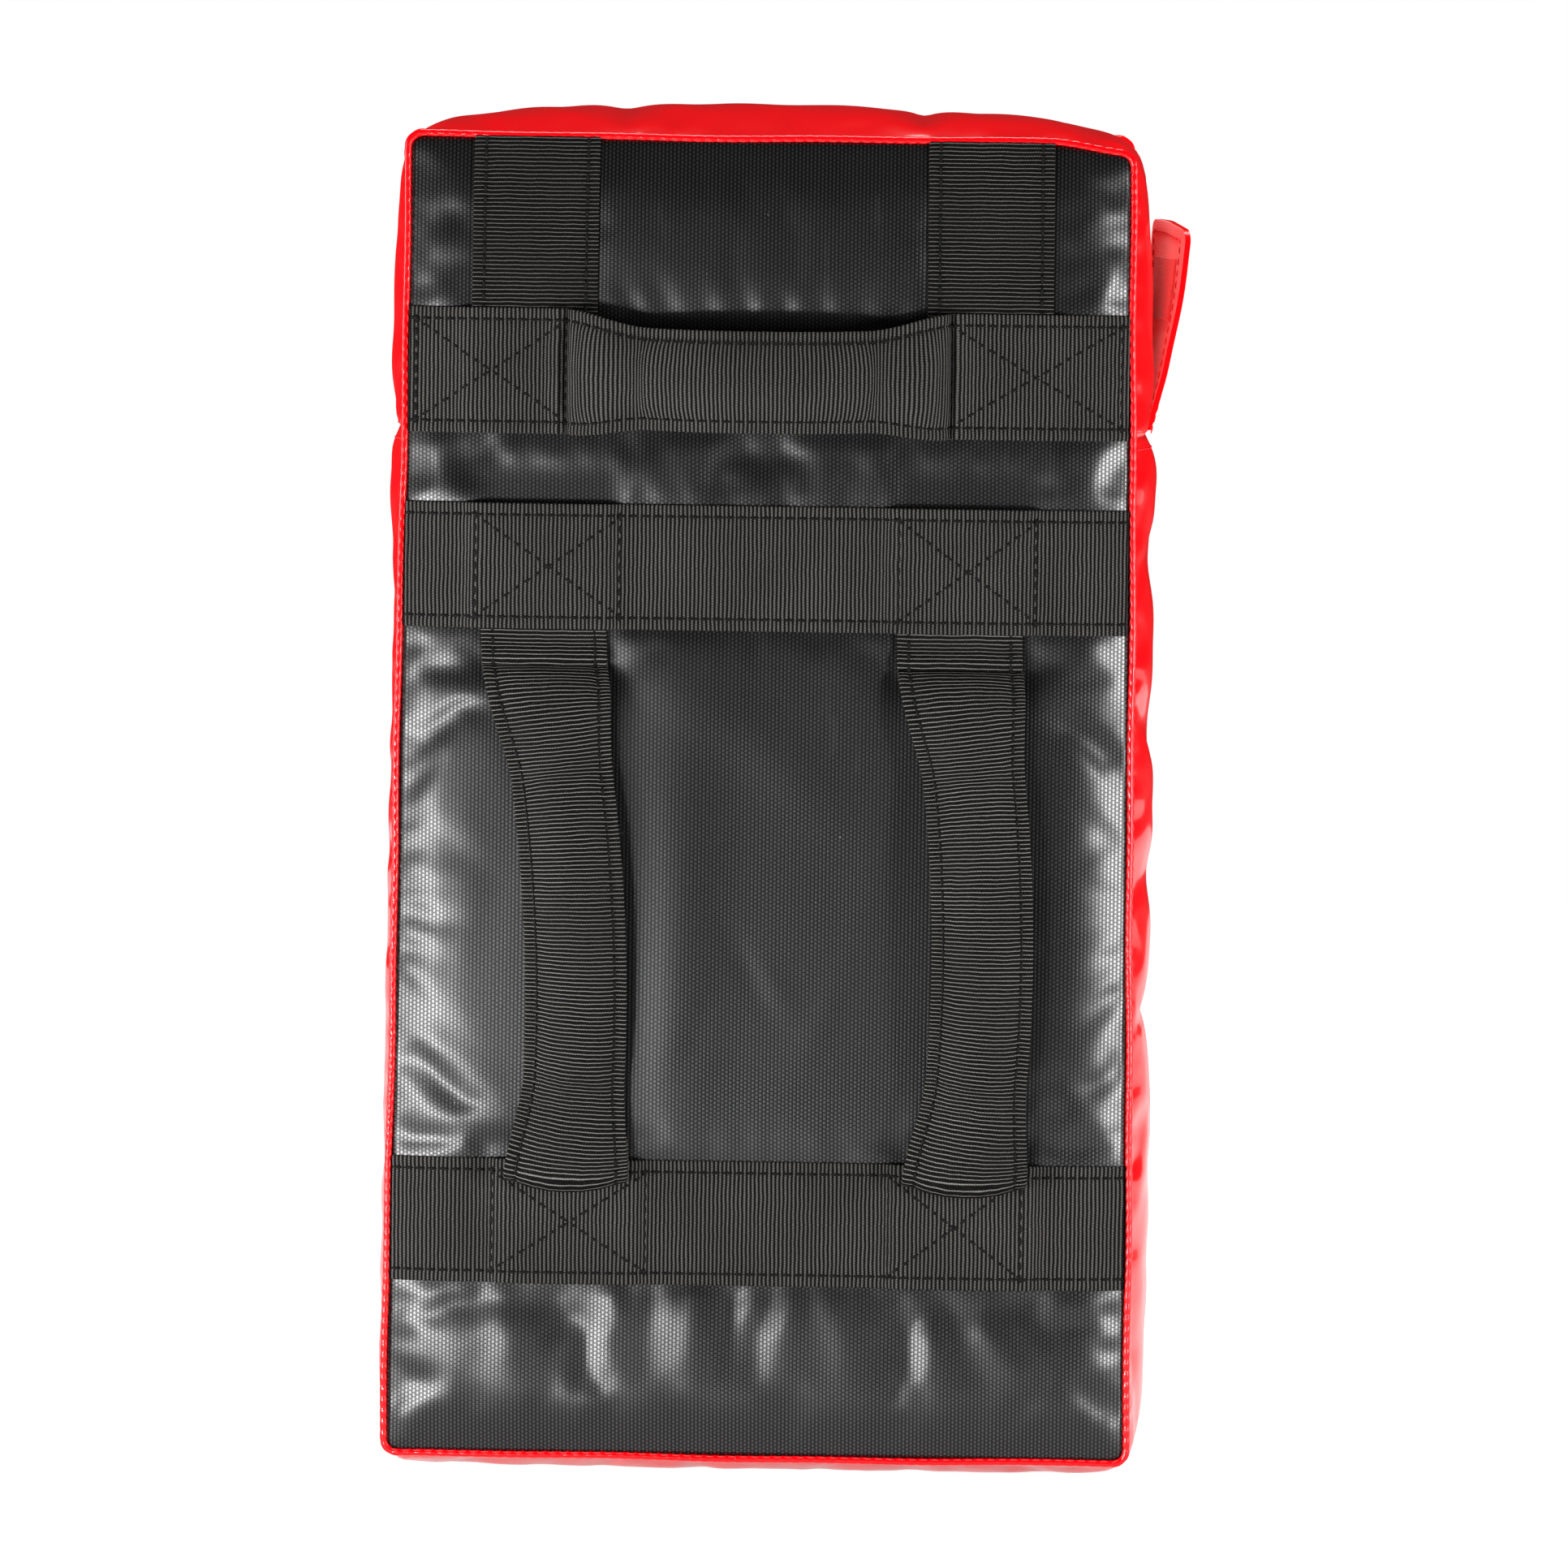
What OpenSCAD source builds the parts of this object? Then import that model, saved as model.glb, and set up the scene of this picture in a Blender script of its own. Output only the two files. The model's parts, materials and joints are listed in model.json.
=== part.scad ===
// Strike shield: a tall foam block in a sewn vinyl cover, held from behind by webbing handles.
// The back panel faces -Y, the struck front panel faces +Y, and the shield stands on its bottom gusset.
// The origin is the middle of that flat base.

/* [Cover] */
// Width of the panels, seam to seam
panel_w = 292; // [270:1:340]
// Height of the panels, seam to seam
panel_h = 527; // [500:1:600]
// Depth of the gusset, seam to seam
gusset_d = 130; // [110:1:160]
// Corner radius of the panels
corner_r = 5; // [4:1:20]
// Thickness of the coated cloth
vinyl_t = 1; // [0.8:0.1:1.6]
// How far the side gussets swell at their middle
side_bulge = 7; // [4:0.5:11]
// How far the top gusset swells at its middle
top_bulge = 12; // [6:0.5:14]
// Height of the bottom seam above the floor
base_h = 8; // [6:0.5:10]
// How far the bottom gusset would swell past the floor that flattens it
base_press = 3; // [2:0.5:5]
// Crown of the back panel
back_crown = 5; // [3:0.5:8]
// Crown of the front panel
front_crown = 9; // [4:0.5:14]
// Width over which a panel rolls down to its seam
crown_reach = 28; // [20:1:36]
// Diameter of the turned seam
welt_d = 3.6; // [2.8:0.1:5]
// How far the middle of the turned seam stands outside the seam line
welt_out = 0.9; // [0.6:0.1:1.2]
// Height of the gusset's cross seams below the top seam
cross_seam_drop = 118.5; // [100:0.5:150]

/* [Foam] */
// Thickness of the firm layer behind the front panel
strike_foam_t = 36; // [25:1:48]
// Thickness of the soft layer behind the back panel
back_foam_t = 36; // [25:1:48]

/* [Straps] */
// Width of the webbing
strap_w = 50; // [40:1:54]
// Thickness of the webbing
strap_t = 1.6; // [1.2:0.1:2.2]
// Middle of the lower strap above the bottom seam
lower_strap_rise = 94.5; // [80:0.5:110]
// Middle of the middle strap below the top seam
middle_strap_drop = 170.5; // [164:0.5:200]
// Middle of the upper strap below the top seam
upper_strap_drop = 92; // [88:1:100]
// Middle of the left top strap, left of the centre line
left_top_strap_x = 94.5; // [86:0.5:100]
// Middle of the right top strap, right of the centre line
right_top_strap_x = 89; // [82:0.5:96]
// Distance over which a strap climbs onto what lies under it
climb = 3; // [2:0.5:5]

/* [Upright handles] */
// Middle of the left handle, left of the centre line
left_handle_x = 82; // [74:0.5:90]
// Middle of the right handle, right of the centre line
right_handle_x = 79.5; // [74:0.5:90]
// Lean of the left handle, in degrees, its top to the left
left_handle_lean = 3.2; // [-4:0.1:4]
// Lean of the right handle, in degrees, its top to the left
right_handle_lean = 0.8; // [-4:0.1:4]
// How far a slack handle bows sideways
handle_bow = 8; // [0:0.5:10]
// How far the grip stands out past its sewn ends
handle_rise = 24; // [22:0.5:32]
// Length of the stiff grip between the soft ends
grip_l = 130; // [110:1:140]
// Flat tab that shows below the middle strap
tab_show = 15; // [10:1:20]
// How far the lower fold hangs over the lower strap
fold_drop = 10.5; // [8:0.5:16]
// Bend radius of that fold
fold_r = 3.2; // [2.6:0.1:4.5]
// How far a sewn tab rises above the lower strap before it folds over
fold_rise = 6; // [4:0.5:9]
// How far a tab's end stays inside its strap
tab_tuck = 3; // [2:0.5:6]

/* [Cross handle] */
// Free length between the sewn ends of the upper strap
cross_span = 154; // [145:1:165]
// Middle of the cross handle from the centre line
cross_x = -4; // [-8:0.5:8]
// How far the cross handle stands out
cross_rise = 24; // [22:0.5:30]
// How far it sags at the middle
cross_sag = 3; // [0:0.5:6]
// Length of its stiff grip
cross_grip_l = 92; // [80:1:100]

/* [Grips] */
// Half width lost at the middle of a grip as the webbing curls round its core
grip_waist = 4; // [0:0.5:6]
// Curl of the webbing's edges at the middle of a grip
grip_curl = 6; // [4:0.5:8]
// Curl of the webbing's edges where a grip meets its soft ends
end_curl = 1.5; // [1.2:0.1:2.5]
// Share of a grip's width that its core fills
core_fill = 0.8; // [0.6:0.05:0.85]

/* [Closure] */
// Height of the flap above its sewn edge
flap_h = 78; // [66:1:95]
// Width of the flap, measured along the depth of the shield
flap_d = 60; // [44:1:66]
// Thickness of the hemmed flap
flap_t = 1.6; // [1.2:0.1:2.4]
// Corner radius of the flap
flap_r = 8; // [4:1:14]
// Middle of the flap, in front of the middle of the gusset
flap_y = 22; // [10:1:24]
// How far the flap stands open, in degrees
flap_rest = 8; // [6:0.5:14]
// Sewn edge of the flap above the cross seam
flap_rise = 3; // [2:0.5:6]
// Height of the hook tape and the loop tape
tape_h = 25; // [16:1:30]
// Length of both tapes
tape_l = 44; // [30:1:48]
// Thickness of each tape
tape_t = 0.8; // [0.5:0.1:1]
// Middle of the tapes below the flap's upper edge
tape_drop = 22; // [18:1:31]

/* [Fit] */
// Clearance between pieces that lie against each other
fit = 0.3; // [0.2:0.05:0.4]

/* [Hidden] */
$fn = 48;

black_vinyl = [0.07, 0.07, 0.07];
red_vinyl = [0.83, 0.02, 0.03];
black_webbing = [0.16, 0.16, 0.16];
red_tape = [0.6, 0.02, 0.03];
pale_foam = [0.85, 0.83, 0.76];
firm_foam = [0.35, 0.36, 0.38];

half_w = panel_w / 2;
top_z = base_h + panel_h;
mid_z = base_h + panel_h / 2;
back_y = -gusset_d / 2;
front_y = gusset_d / 2;
face_y = back_y - back_crown;
cross_seam_z = top_z - cross_seam_drop;
lower_strap_z = base_h + lower_strap_rise;
middle_strap_z = top_z - middle_strap_drop;
upper_strap_z = top_z - upper_strap_drop;

// The gusset starts behind the turned seam, and the panel ends just inside it
gusset_lip = welt_d / 2 + fit;
panel_edge = welt_d / 2 - welt_out + fit;
core_wall = vinyl_t + fit;
least_r = 1.5;

// Share of a swelling that is left at the corners of each side
side_fullness = 0.4;
top_fullness = 0.15;
base_fullness = 0.75;
fullness_power = 3;
base_bulge = base_h + base_press;

// The two layers of a handle are sewn flat together at its ends
tab_t = 2 * strap_t;
tab_mid = fit + tab_t / 2;
over_tab = tab_t + 2 * fit;
over_strap = strap_t + 2 * fit;
crease_z = middle_strap_z - strap_w / 2 - tab_show;
lower_top_z = lower_strap_z + strap_w / 2;
fold_z = lower_top_z - fold_drop;
handle_span = crease_z - fold_z;
handle_mid_z = (crease_z + fold_z) / 2;

// Subdivisions of the soft forms
low_n = 8;
up_n = 3;
end_n = 8;
corner_n = 3;
grip_n = 10;
tape_up_n = 3;
tape_deep_n = 4;
across = [-1, -0.6, -0.2, 0.2, 0.6, 1];
bend_n = 6;
roll_shares = [0.18, 0.4, 0.68, 1];
foam_shares = [0.18, 0.5, 1];
tab_ramp_shares = [0, 0.15, 0.35, 0.6, 0.8, 1];
strap_ramp_shares = [0, 0.08, 0.2, 0.4, 0.6, 0.8, 1];
hang_shares = [0, 0.25, 0.5, 0.75];

// Powers that shape the gusset's swelling and a slack loop: how flat the middle is, how round the ends are
swell_flat = 2.6;
swell_round = 0.7;
loop_flat = 2.4;
loop_round = 0.8;

// Soft forms are closed skins over rows of points.
// Rows follow u and points follow v, with the outside at u x v.
// Both faces of a sheet share their diagonals, so that it keeps its thickness where it twists.
function reverse(v) = [for (i = [len(v) - 1:-1:0]) v[i]];
function skin_faces(rows, n) = [
    for (i = [0:rows - 2], j = [0:n - 1])
        let (k = (j + 1) % n, a = i * n, b = a + n)
        each [[a + j, a + k, b + k], [a + j, b + k, b + j]]
];
function sheet_faces(rows, n) = [
    for (i = [0:rows - 2], j = [0:n - 1])
        let (k = (j + 1) % n, a = i * n, b = a + n)
        each j < n / 2
            ? [[a + j, a + k, b + k], [a + j, b + k, b + j]]
            : [[a + j, a + k, b + j], [a + k, b + k, b + j]]
];
function fan_caps(rows, n) = [
    for (j = [0:n - 1])
        let (k = (j + 1) % n, e = (rows - 1) * n, first = rows * n, last = first + 1)
        each [[first, k, j], [last, e + j, e + k]]
];
function middle(ring) = [for (p = ring) 1] * ring / len(ring);
function strip_caps(rows, n) = [
    for (j = [0:n / 2 - 2])
        let (a = j, b = j + 1, c = n - 2 - j, d = n - 1 - j, e = (rows - 1) * n)
        each [[d, c, b], [d, b, a], [e + a, e + b, e + c], [e + a, e + c, e + d]]
];
module loft(rings) {
    rows = len(rings);
    n = len(rings[0]);
    centres = [middle(rings[0]), middle(rings[rows - 1])];
    polyhedron(
        points = concat([for (ring = rings) each ring], centres),
        faces = concat(skin_faces(rows, n), fan_caps(rows, n)));
}
module sheet(outer, inner) {
    rings = [for (i = [0:len(outer) - 1]) concat(outer[i], reverse(inner[i]))];
    rows = len(rings);
    n = len(rings[0]);
    polyhedron(
        points = [for (ring = rings) each ring],
        faces = concat(sheet_faces(rows, n), strip_caps(rows, n)));
}

// The seam outline. Each entry has its outward direction, its place on the rectangle of corner centres,
// and its swelling.
function full(s, fullness) = fullness + (1 - fullness) * (1 - pow(abs(s), fullness_power));
function upright(side, from, to, n) = [
    for (i = [0:n])
        let (s = from + (to - from) * i / n)
        [side, 0, side, s, side_bulge * full(s, side_fullness)]
];
function level(up, from, n, bulge, fullness) = [
    for (i = [0:n])
        let (s = from * (1 - 2 * i / n))
        [0, up, s, up, bulge * full(s, fullness)]
];
function corner(sx, sz, start, bulge) = [
    for (i = [1:corner_n - 1])
        let (a = start + 90 * i / corner_n, part = pow(sin(a), 2))
        [cos(a), sin(a), sx, sz, bulge * part + side_bulge * side_fullness * (1 - part)]
];
function side_s(z) = (z - mid_z) / (panel_h / 2 - corner_r);
function seam_s(gap) = side_s(cross_seam_z + gap);

top_path = concat(
    upright(1, seam_s(fit / 2), 1, up_n),
    corner(1, 1, 0, top_bulge * top_fullness),
    level(1, 1, end_n, top_bulge, top_fullness),
    corner(-1, 1, 90, top_bulge * top_fullness),
    upright(-1, 1, seam_s(fit / 2), up_n));
base_path = concat(
    upright(-1, seam_s(-fit / 2), -1, low_n),
    corner(-1, -1, 180, base_bulge * base_fullness),
    level(-1, -1, end_n, base_bulge, base_fullness),
    corner(1, -1, 270, base_bulge * base_fullness),
    upright(1, -1, seam_s(-fit / 2), low_n));
outline = concat(top_path, base_path);

function outline_point(q, off) =
    let (r = max(corner_r + off, least_r), s = corner_r + off - r)
    [q[2] * (half_w - corner_r + s) + q[0] * r, mid_z + q[3] * (panel_h / 2 - corner_r + s) + q[1] * r];

// The panels roll down to their seams, and the gussets swell between them
function roll(d) = 1 - pow(1 - min(d / crown_reach, 1), 2);
roll_steps = roll_shares * crown_reach;
function panel_ring(d, y) = [for (q = outline) let (p = outline_point(q, -d)) [p[0], y, p[1]]];
function back_ring(d, e) = panel_ring(d, back_y - back_crown * roll(d) + e);
function front_ring(d, e) = panel_ring(d, front_y + front_crown * roll(d) - e);
function swell(t) = pow(1 - pow(abs(2 * t - 1), swell_flat), swell_round);
back_share = back_foam_t / gusset_d;
strike_share = strike_foam_t / gusset_d;
back_steps = foam_shares * back_share;
front_steps = [for (k = reverse(foam_shares)) 1 - k * strike_share];
core_steps = [back_share, 0.5, 1 - strike_share];
gusset_steps = concat([0], back_steps, [0.5], front_steps, [1]);
function gusset_y(t) = back_y + gusset_lip + t * (gusset_d - 2 * gusset_lip);
function gusset_point(q, t, e) =
    let (p = outline_point(q, welt_out + q[4] * swell(t) - e))
    [p[0], gusset_y(t), max(p[1], e)];
function gusset_row(path, t, e) = [for (q = path) gusset_point(q, t, e)];
function shifted(row, dy) = [for (p = row) p + [0, dy, 0]];

module gusset(path) {
    outer = [for (t = gusset_steps) gusset_row(path, t, 0)];
    inner = [for (t = gusset_steps) gusset_row(path, t, vinyl_t)];
    color(red_vinyl) sheet(outer, inner);
}
module top_gusset() { gusset(top_path); }
module bottom_gusset() { gusset(base_path); }

module back_panel() {
    steps = concat([panel_edge], roll_steps);
    outer = [for (d = reverse(steps)) back_ring(d, 0)];
    inner = [for (d = steps) back_ring(d, vinyl_t)];
    color(black_vinyl) loft(concat(outer, inner));
}
module front_panel() {
    steps = concat([panel_edge], roll_steps);
    inner = [for (d = reverse(steps)) front_ring(d, vinyl_t)];
    outer = [for (d = steps) front_ring(d, 0)];
    color(red_vinyl) loft(concat(inner, outer));
}

// A round seam swept along the panel's outline
module welt(y) {
    long = panel_h - 2 * corner_r;
    wide = panel_w - 2 * corner_r;
    r = corner_r + welt_out;
    color(red_vinyl)
        translate([0, y, mid_z])
            rotate([90, 0, 0])
                for (i = [0:3]) {
                    s = i == 0 || i == 3 ? 1 : -1;
                    m = i < 2 ? 1 : -1;
                    translate([s * wide / 2, m * long / 2, 0])
                        rotate(90 * i) rotate_extrude(angle = 90) translate([r, 0]) circle(d = welt_d);
                    if (i % 2 == 0) {
                        translate([s * (wide / 2 + r), 0, 0])
                            rotate([90, 0, 0]) cylinder(d = welt_d, h = long, center = true);
                        translate([0, s * (long / 2 + r), 0])
                            rotate([0, 90, 0]) cylinder(d = welt_d, h = wide, center = true);
                    }
                }
}
module back_welt() { welt(back_y); }
module front_welt() { welt(front_y); }

// The filling: three layers that swell with the cover
module back_foam() {
    crown = [for (d = reverse(concat([panel_edge + core_wall], roll_steps))) back_ring(d, core_wall)];
    sides = [for (t = back_steps) gusset_row(outline, t, core_wall)];
    color(pale_foam) loft(concat(crown, sides));
}
module core_foam() {
    rows = [for (t = core_steps) gusset_row(outline, t, core_wall)];
    last = len(rows) - 1;
    ends = [shifted(rows[0], fit), shifted(rows[last], -fit)];
    color(pale_foam) loft(concat([ends[0]], [for (i = [1:last - 1]) rows[i]], [ends[1]]));
}
module strike_foam() {
    sides = [for (t = front_steps) gusset_row(outline, t, core_wall)];
    crown = [for (d = concat([panel_edge + core_wall], roll_steps)) front_ring(d, core_wall)];
    color(firm_foam) loft(concat(sides, crown));
}

// Webbing that lies on the back panel climbs over what lies under it.
// A bump is [place, half width, height].
function panel_y(d) = back_y - back_crown * roll(d);
function sorted(v) =
    len(v) < 2 ? v :
    let (rest = [for (i = [1:len(v) - 1]) v[i]])
    concat(sorted([for (x = rest) if (x < v[0]) x]), [v[0]], sorted([for (x = rest) if (x >= v[0]) x]));
function climb_share(x, b) = (b[1] + climb - abs(x - b[0])) / (climb - fit);
function lift(x, bumps) = max(fit, max([for (b = bumps) b[2] * min(1, climb_share(x, b))]));
edge_steps = concat([panel_edge + fit], roll_steps);
function strap_xs(bumps) = sorted(concat(
    [for (s = [-1, 1], d = edge_steps) s * (half_w - d)],
    [for (b = bumps, s = [-1, 1], e = [fit, climb]) b[0] + s * (b[1] + e)]));
function under_strap(x, bumps) = panel_y(half_w - abs(x)) - lift(x, bumps);
module cross_strap(z, bumps) {
    under = [for (x = strap_xs(bumps)) [x, under_strap(x, bumps)]];
    over = [for (p = under) p - [0, strap_t]];
    color(black_webbing)
        translate([0, 0, z - strap_w / 2])
            linear_extrude(strap_w) polygon(concat(under, reverse(over)));
}
module along_x(w) { rotate(a = 120, v = [1, 1, 1]) linear_extrude(w, center = true) children(); }

// A leaning handle's tab covers a little more of its strap
function tab_half(lean) = strap_w / 2 + strap_w * abs(sin(lean)) / 2;
function tab_x(x, lean, z) = x + tan(lean) * (handle_mid_z - z);
function tab_bumps(z) = [
    [tab_x(-left_handle_x, left_handle_lean, z), tab_half(left_handle_lean), over_tab],
    [tab_x(right_handle_x, right_handle_lean, z), tab_half(right_handle_lean), over_tab]
];
module middle_strap() { cross_strap(middle_strap_z, tab_bumps(middle_strap_z)); }
module lower_strap() { cross_strap(lower_strap_z, tab_bumps(lower_strap_z)); }

module top_strap(x) {
    hidden_end = upper_strap_z - strap_w / 2 + tab_tuck;
    under = concat([for (d = edge_steps) [panel_y(d) - fit, top_z - d]], [[face_y - fit, hidden_end]]);
    over = [for (p = under) p - [strap_t, 0]];
    color(black_webbing) translate([x, 0, 0]) along_x(strap_w) polygon(concat(under, reverse(over)));
}
module left_top_strap() { top_strap(-left_top_strap_x); }
module right_top_strap() { top_strap(right_top_strap_x); }

// A slack loop: its height, its waist and the curl of its edges along the free span, for u from 0 to 1
function loop(u) = pow(1 - pow(abs(2 * u - 1), loop_flat), loop_round);
function swing_end(span, grip) = (span - grip) / 2 / span;
function grip_part(u, u0) = max(0, min((u - u0) / (1 - 2 * u0), 1));
function half_width(u, u0) = strap_w / 2 - grip_waist * sin(180 * grip_part(u, u0));
function curl(u, u0) = end_curl + (grip_curl - end_curl) * sin(180 * grip_part(u, u0));
function ramp_curl(u, u0) = end_curl * min(u, 1 - u) / u0;

// Upright handle, before its lean: u runs down from the crease to the fold
function upright_bow(u) = handle_bow * sin(180 * u);
function upright_point(x, u, v, o) = [x + upright_bow(u) + v, face_y - o, crease_z - u * handle_span];
// Cross handle: u runs along X
cross_left = cross_x - cross_span / 2;
function cross_point(u, v, o) =
    [cross_left + u * cross_span, face_y - o, upper_strap_z - cross_sag * sin(180 * u) + v];

upright_u0 = swing_end(handle_span, grip_l);
cross_u0 = swing_end(cross_span, cross_grip_l);
function grip_us(u0, span) = [
    for (i = [0:grip_n]) let (a = u0 + fit / span) a + (1 - 2 * a) * i / grip_n
];
function upright_face(u) = fit + tab_t + handle_rise * loop(u);
function cross_face(u) = over_strap + strap_t + cross_rise * loop(u);
function upright_v(u, k) = k * half_width(u, upright_u0);
function cross_v(u, k) = k * half_width(u, cross_u0);
function lining_drop(u, u0) = curl(u, u0) + strap_t + fit;

// The three layers of a grip, as heights at u and v
function webbing_o(face, u, v, u0) = face - curl(u, u0) * v * v;
function core_top_o(face, u, v, u0) = face - strap_t - fit - curl(u, u0) * v * v;
function core_low_o(face, u, u0) = face - lining_drop(u, u0) + fit;

module lean(x, angle) {
    translate([x, 0, handle_mid_z]) rotate([0, -angle, 0]) translate([-x, 0, -handle_mid_z]) children();
}

module upright_webbing(x) {
    us = grip_us(upright_u0, handle_span);
    function row(u, e) = [
        for (k = across)
            upright_point(x, u, upright_v(u, k), webbing_o(upright_face(u), u, k, upright_u0) - e)
    ];
    color(black_webbing) sheet([for (u = us) row(u, 0)], [for (u = us) row(u, strap_t)]);
}
module upright_lining(x) {
    us = grip_us(upright_u0, handle_span);
    function row(u, e) = [
        for (k = [-1, 1])
            upright_point(x, u, upright_v(u, k), upright_face(u) - lining_drop(u, upright_u0) - e)
    ];
    color(black_webbing) sheet([for (u = us) row(u, 0)], [for (u = us) row(u, strap_t)]);
}
module upright_core(x) {
    us = grip_us(upright_u0, handle_span);
    function top_row(u) = [
        for (k = across * core_fill)
            upright_point(x, u, upright_v(u, k), core_top_o(upright_face(u), u, k, upright_u0))
    ];
    function low_row(u) = [
        for (k = across * core_fill)
            upright_point(x, u, upright_v(u, k), core_low_o(upright_face(u), u, upright_u0))
    ];
    color(firm_foam) sheet([for (u = us) top_row(u)], [for (u = us) low_row(u)]);
}

// The soft ends of an upright handle follow a path of [height, z, curl] stations,
// with the sewn layers on both sides of it
function path_normal(path, i) =
    let (last = len(path) - 1, d = path[min(i + 1, last)] - path[max(i - 1, 0)])
    i == 0 || i == last ? [1, 0] : [-d[1], d[0]] / norm([d[0], d[1]]);
function end_u(z) = max(0, min((crease_z - z) / handle_span, 1));
module soft_end(x, path) {
    function row(i, e) = [
        for (k = across)
            let (s = path[i], off = path_normal(path, i) * (tab_t / 2 - e - s[2] * k * k))
            [x + upright_bow(end_u(s[1])) + k * strap_w / 2, face_y - s[0] - off[0], s[1] + off[1]]
    ];
    rows = [0:len(path) - 1];
    color(black_webbing) sheet([for (i = rows) row(i, 0)], [for (i = rows) row(i, tab_t)]);
}
function ramp_station(u) =
    [tab_mid + handle_rise * loop(u), crease_z - u * handle_span, ramp_curl(u, upright_u0)];
upper_end_path = concat(
    [[tab_mid, middle_strap_z + strap_w / 2 - tab_tuck, 0], [tab_mid, crease_z + tab_show / 2, 0]],
    [for (k = tab_ramp_shares) ramp_station(k * upright_u0)]);

// The lower end hangs over the lower strap, turns under, climbs again and is sewn down under the strap
fold_in_o = over_tab + strap_t + fit + tab_t / 2;
fold_out_o = fold_in_o + 2 * fold_r;
fold_mid_z = fold_z + fold_r + tab_t / 2;
turn_r = (fold_in_o - tab_mid) / 2;
lower_joint = ramp_station(1 - upright_u0);
function half_turn(o, z, r, start) = [
    for (i = [0:bend_n]) let (a = start + 180 * i / bend_n) [o + r * cos(a), z - r * sin(a), 0]
];
function mixed(a, b, share) = a + (b - a) * share;
function hang(k) = [
    mixed(lower_joint[0], fold_out_o, k * k * (3 - 2 * k)),
    mixed(lower_joint[1], fold_mid_z, k),
    mixed(lower_joint[2], 0, k)
];
lower_end_path = concat(
    [for (k = hang_shares) hang(k)],
    half_turn(fold_out_o - fold_r, fold_mid_z, fold_r, 0),
    reverse(half_turn(tab_mid + turn_r, lower_top_z + fold_rise, turn_r, 180)),
    [[tab_mid, lower_top_z, 0], [tab_mid, lower_strap_z - strap_w / 2 + tab_tuck, 0]]);

module on_left() { lean(-left_handle_x, left_handle_lean) children(); }
module on_right() { lean(right_handle_x, right_handle_lean) children(); }
module left_handle_webbing() { on_left() upright_webbing(-left_handle_x); }
module left_handle_lining() { on_left() upright_lining(-left_handle_x); }
module left_handle_core() { on_left() upright_core(-left_handle_x); }
module left_handle_upper_end() { on_left() soft_end(-left_handle_x, upper_end_path); }
module left_handle_lower_end() { on_left() soft_end(-left_handle_x, lower_end_path); }
module right_handle_webbing() { on_right() upright_webbing(right_handle_x); }
module right_handle_lining() { on_right() upright_lining(right_handle_x); }
module right_handle_core() { on_right() upright_core(right_handle_x); }
module right_handle_upper_end() { on_right() soft_end(right_handle_x, upper_end_path); }
module right_handle_lower_end() { on_right() soft_end(right_handle_x, lower_end_path); }

// The upper strap is sewn down at both sides, and its free middle is the cross handle
module top_handle_webbing() {
    us = grip_us(cross_u0, cross_span);
    function row(u, e) = [
        for (k = across) cross_point(u, cross_v(u, k), webbing_o(cross_face(u), u, k, cross_u0) - e)
    ];
    color(black_webbing) sheet([for (u = us) row(u, 0)], [for (u = us) row(u, strap_t)]);
}
module top_handle_lining() {
    us = grip_us(cross_u0, cross_span);
    function row(u, e) = [
        for (k = [-1, 1])
            cross_point(u, cross_v(u, k), cross_face(u) - lining_drop(u, cross_u0) - e)
    ];
    color(black_webbing) sheet([for (u = us) row(u, 0)], [for (u = us) row(u, strap_t)]);
}
module top_handle_core() {
    us = grip_us(cross_u0, cross_span);
    function top_row(u) = [
        for (k = across * core_fill)
            cross_point(u, cross_v(u, k), core_top_o(cross_face(u), u, k, cross_u0))
    ];
    function low_row(u) = [
        for (k = across * core_fill)
            cross_point(u, cross_v(u, k), core_low_o(cross_face(u), u, cross_u0))
    ];
    color(firm_foam) sheet([for (u = us) top_row(u)], [for (u = us) low_row(u)]);
}

// One sewn end of the upper strap: from the side seam, over the top strap, up the ramp to the grip
ramp_us = strap_ramp_shares * cross_u0;
module upper_strap(side, top_x) {
    bumps = [[side * top_x, strap_w / 2, over_strap]];
    seam_us = side < 0 ? ramp_us : [for (u = ramp_us) 1 - u];
    start_x = cross_point(seam_us[0], 0, 0)[0];
    xs = [for (x = strap_xs(bumps)) if (side * (x - start_x) > climb) x];
    flat = [for (x = xs) [x, under_strap(x, bumps), 0, 0]];
    ramp = [
        for (u = seam_us)
            let (p = cross_point(u, 0, cross_face(u) - strap_t))
            [p[0], p[1], p[2] - upper_strap_z, ramp_curl(u, cross_u0)]
    ];
    stations = side < 0 ? concat(flat, ramp) : concat(reverse(ramp), flat);
    function row(s, e) = [
        for (k = across) [s[0], s[1] - e + s[3] * k * k, upper_strap_z + s[2] + k * strap_w / 2]
    ];
    color(black_webbing) sheet([for (s = stations) row(s, strap_t)], [for (s = stations) row(s, 0)]);
}
module upper_strap_left() { upper_strap(-1, left_top_strap_x); }
module upper_strap_right() { upper_strap(1, right_top_strap_x); }

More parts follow.
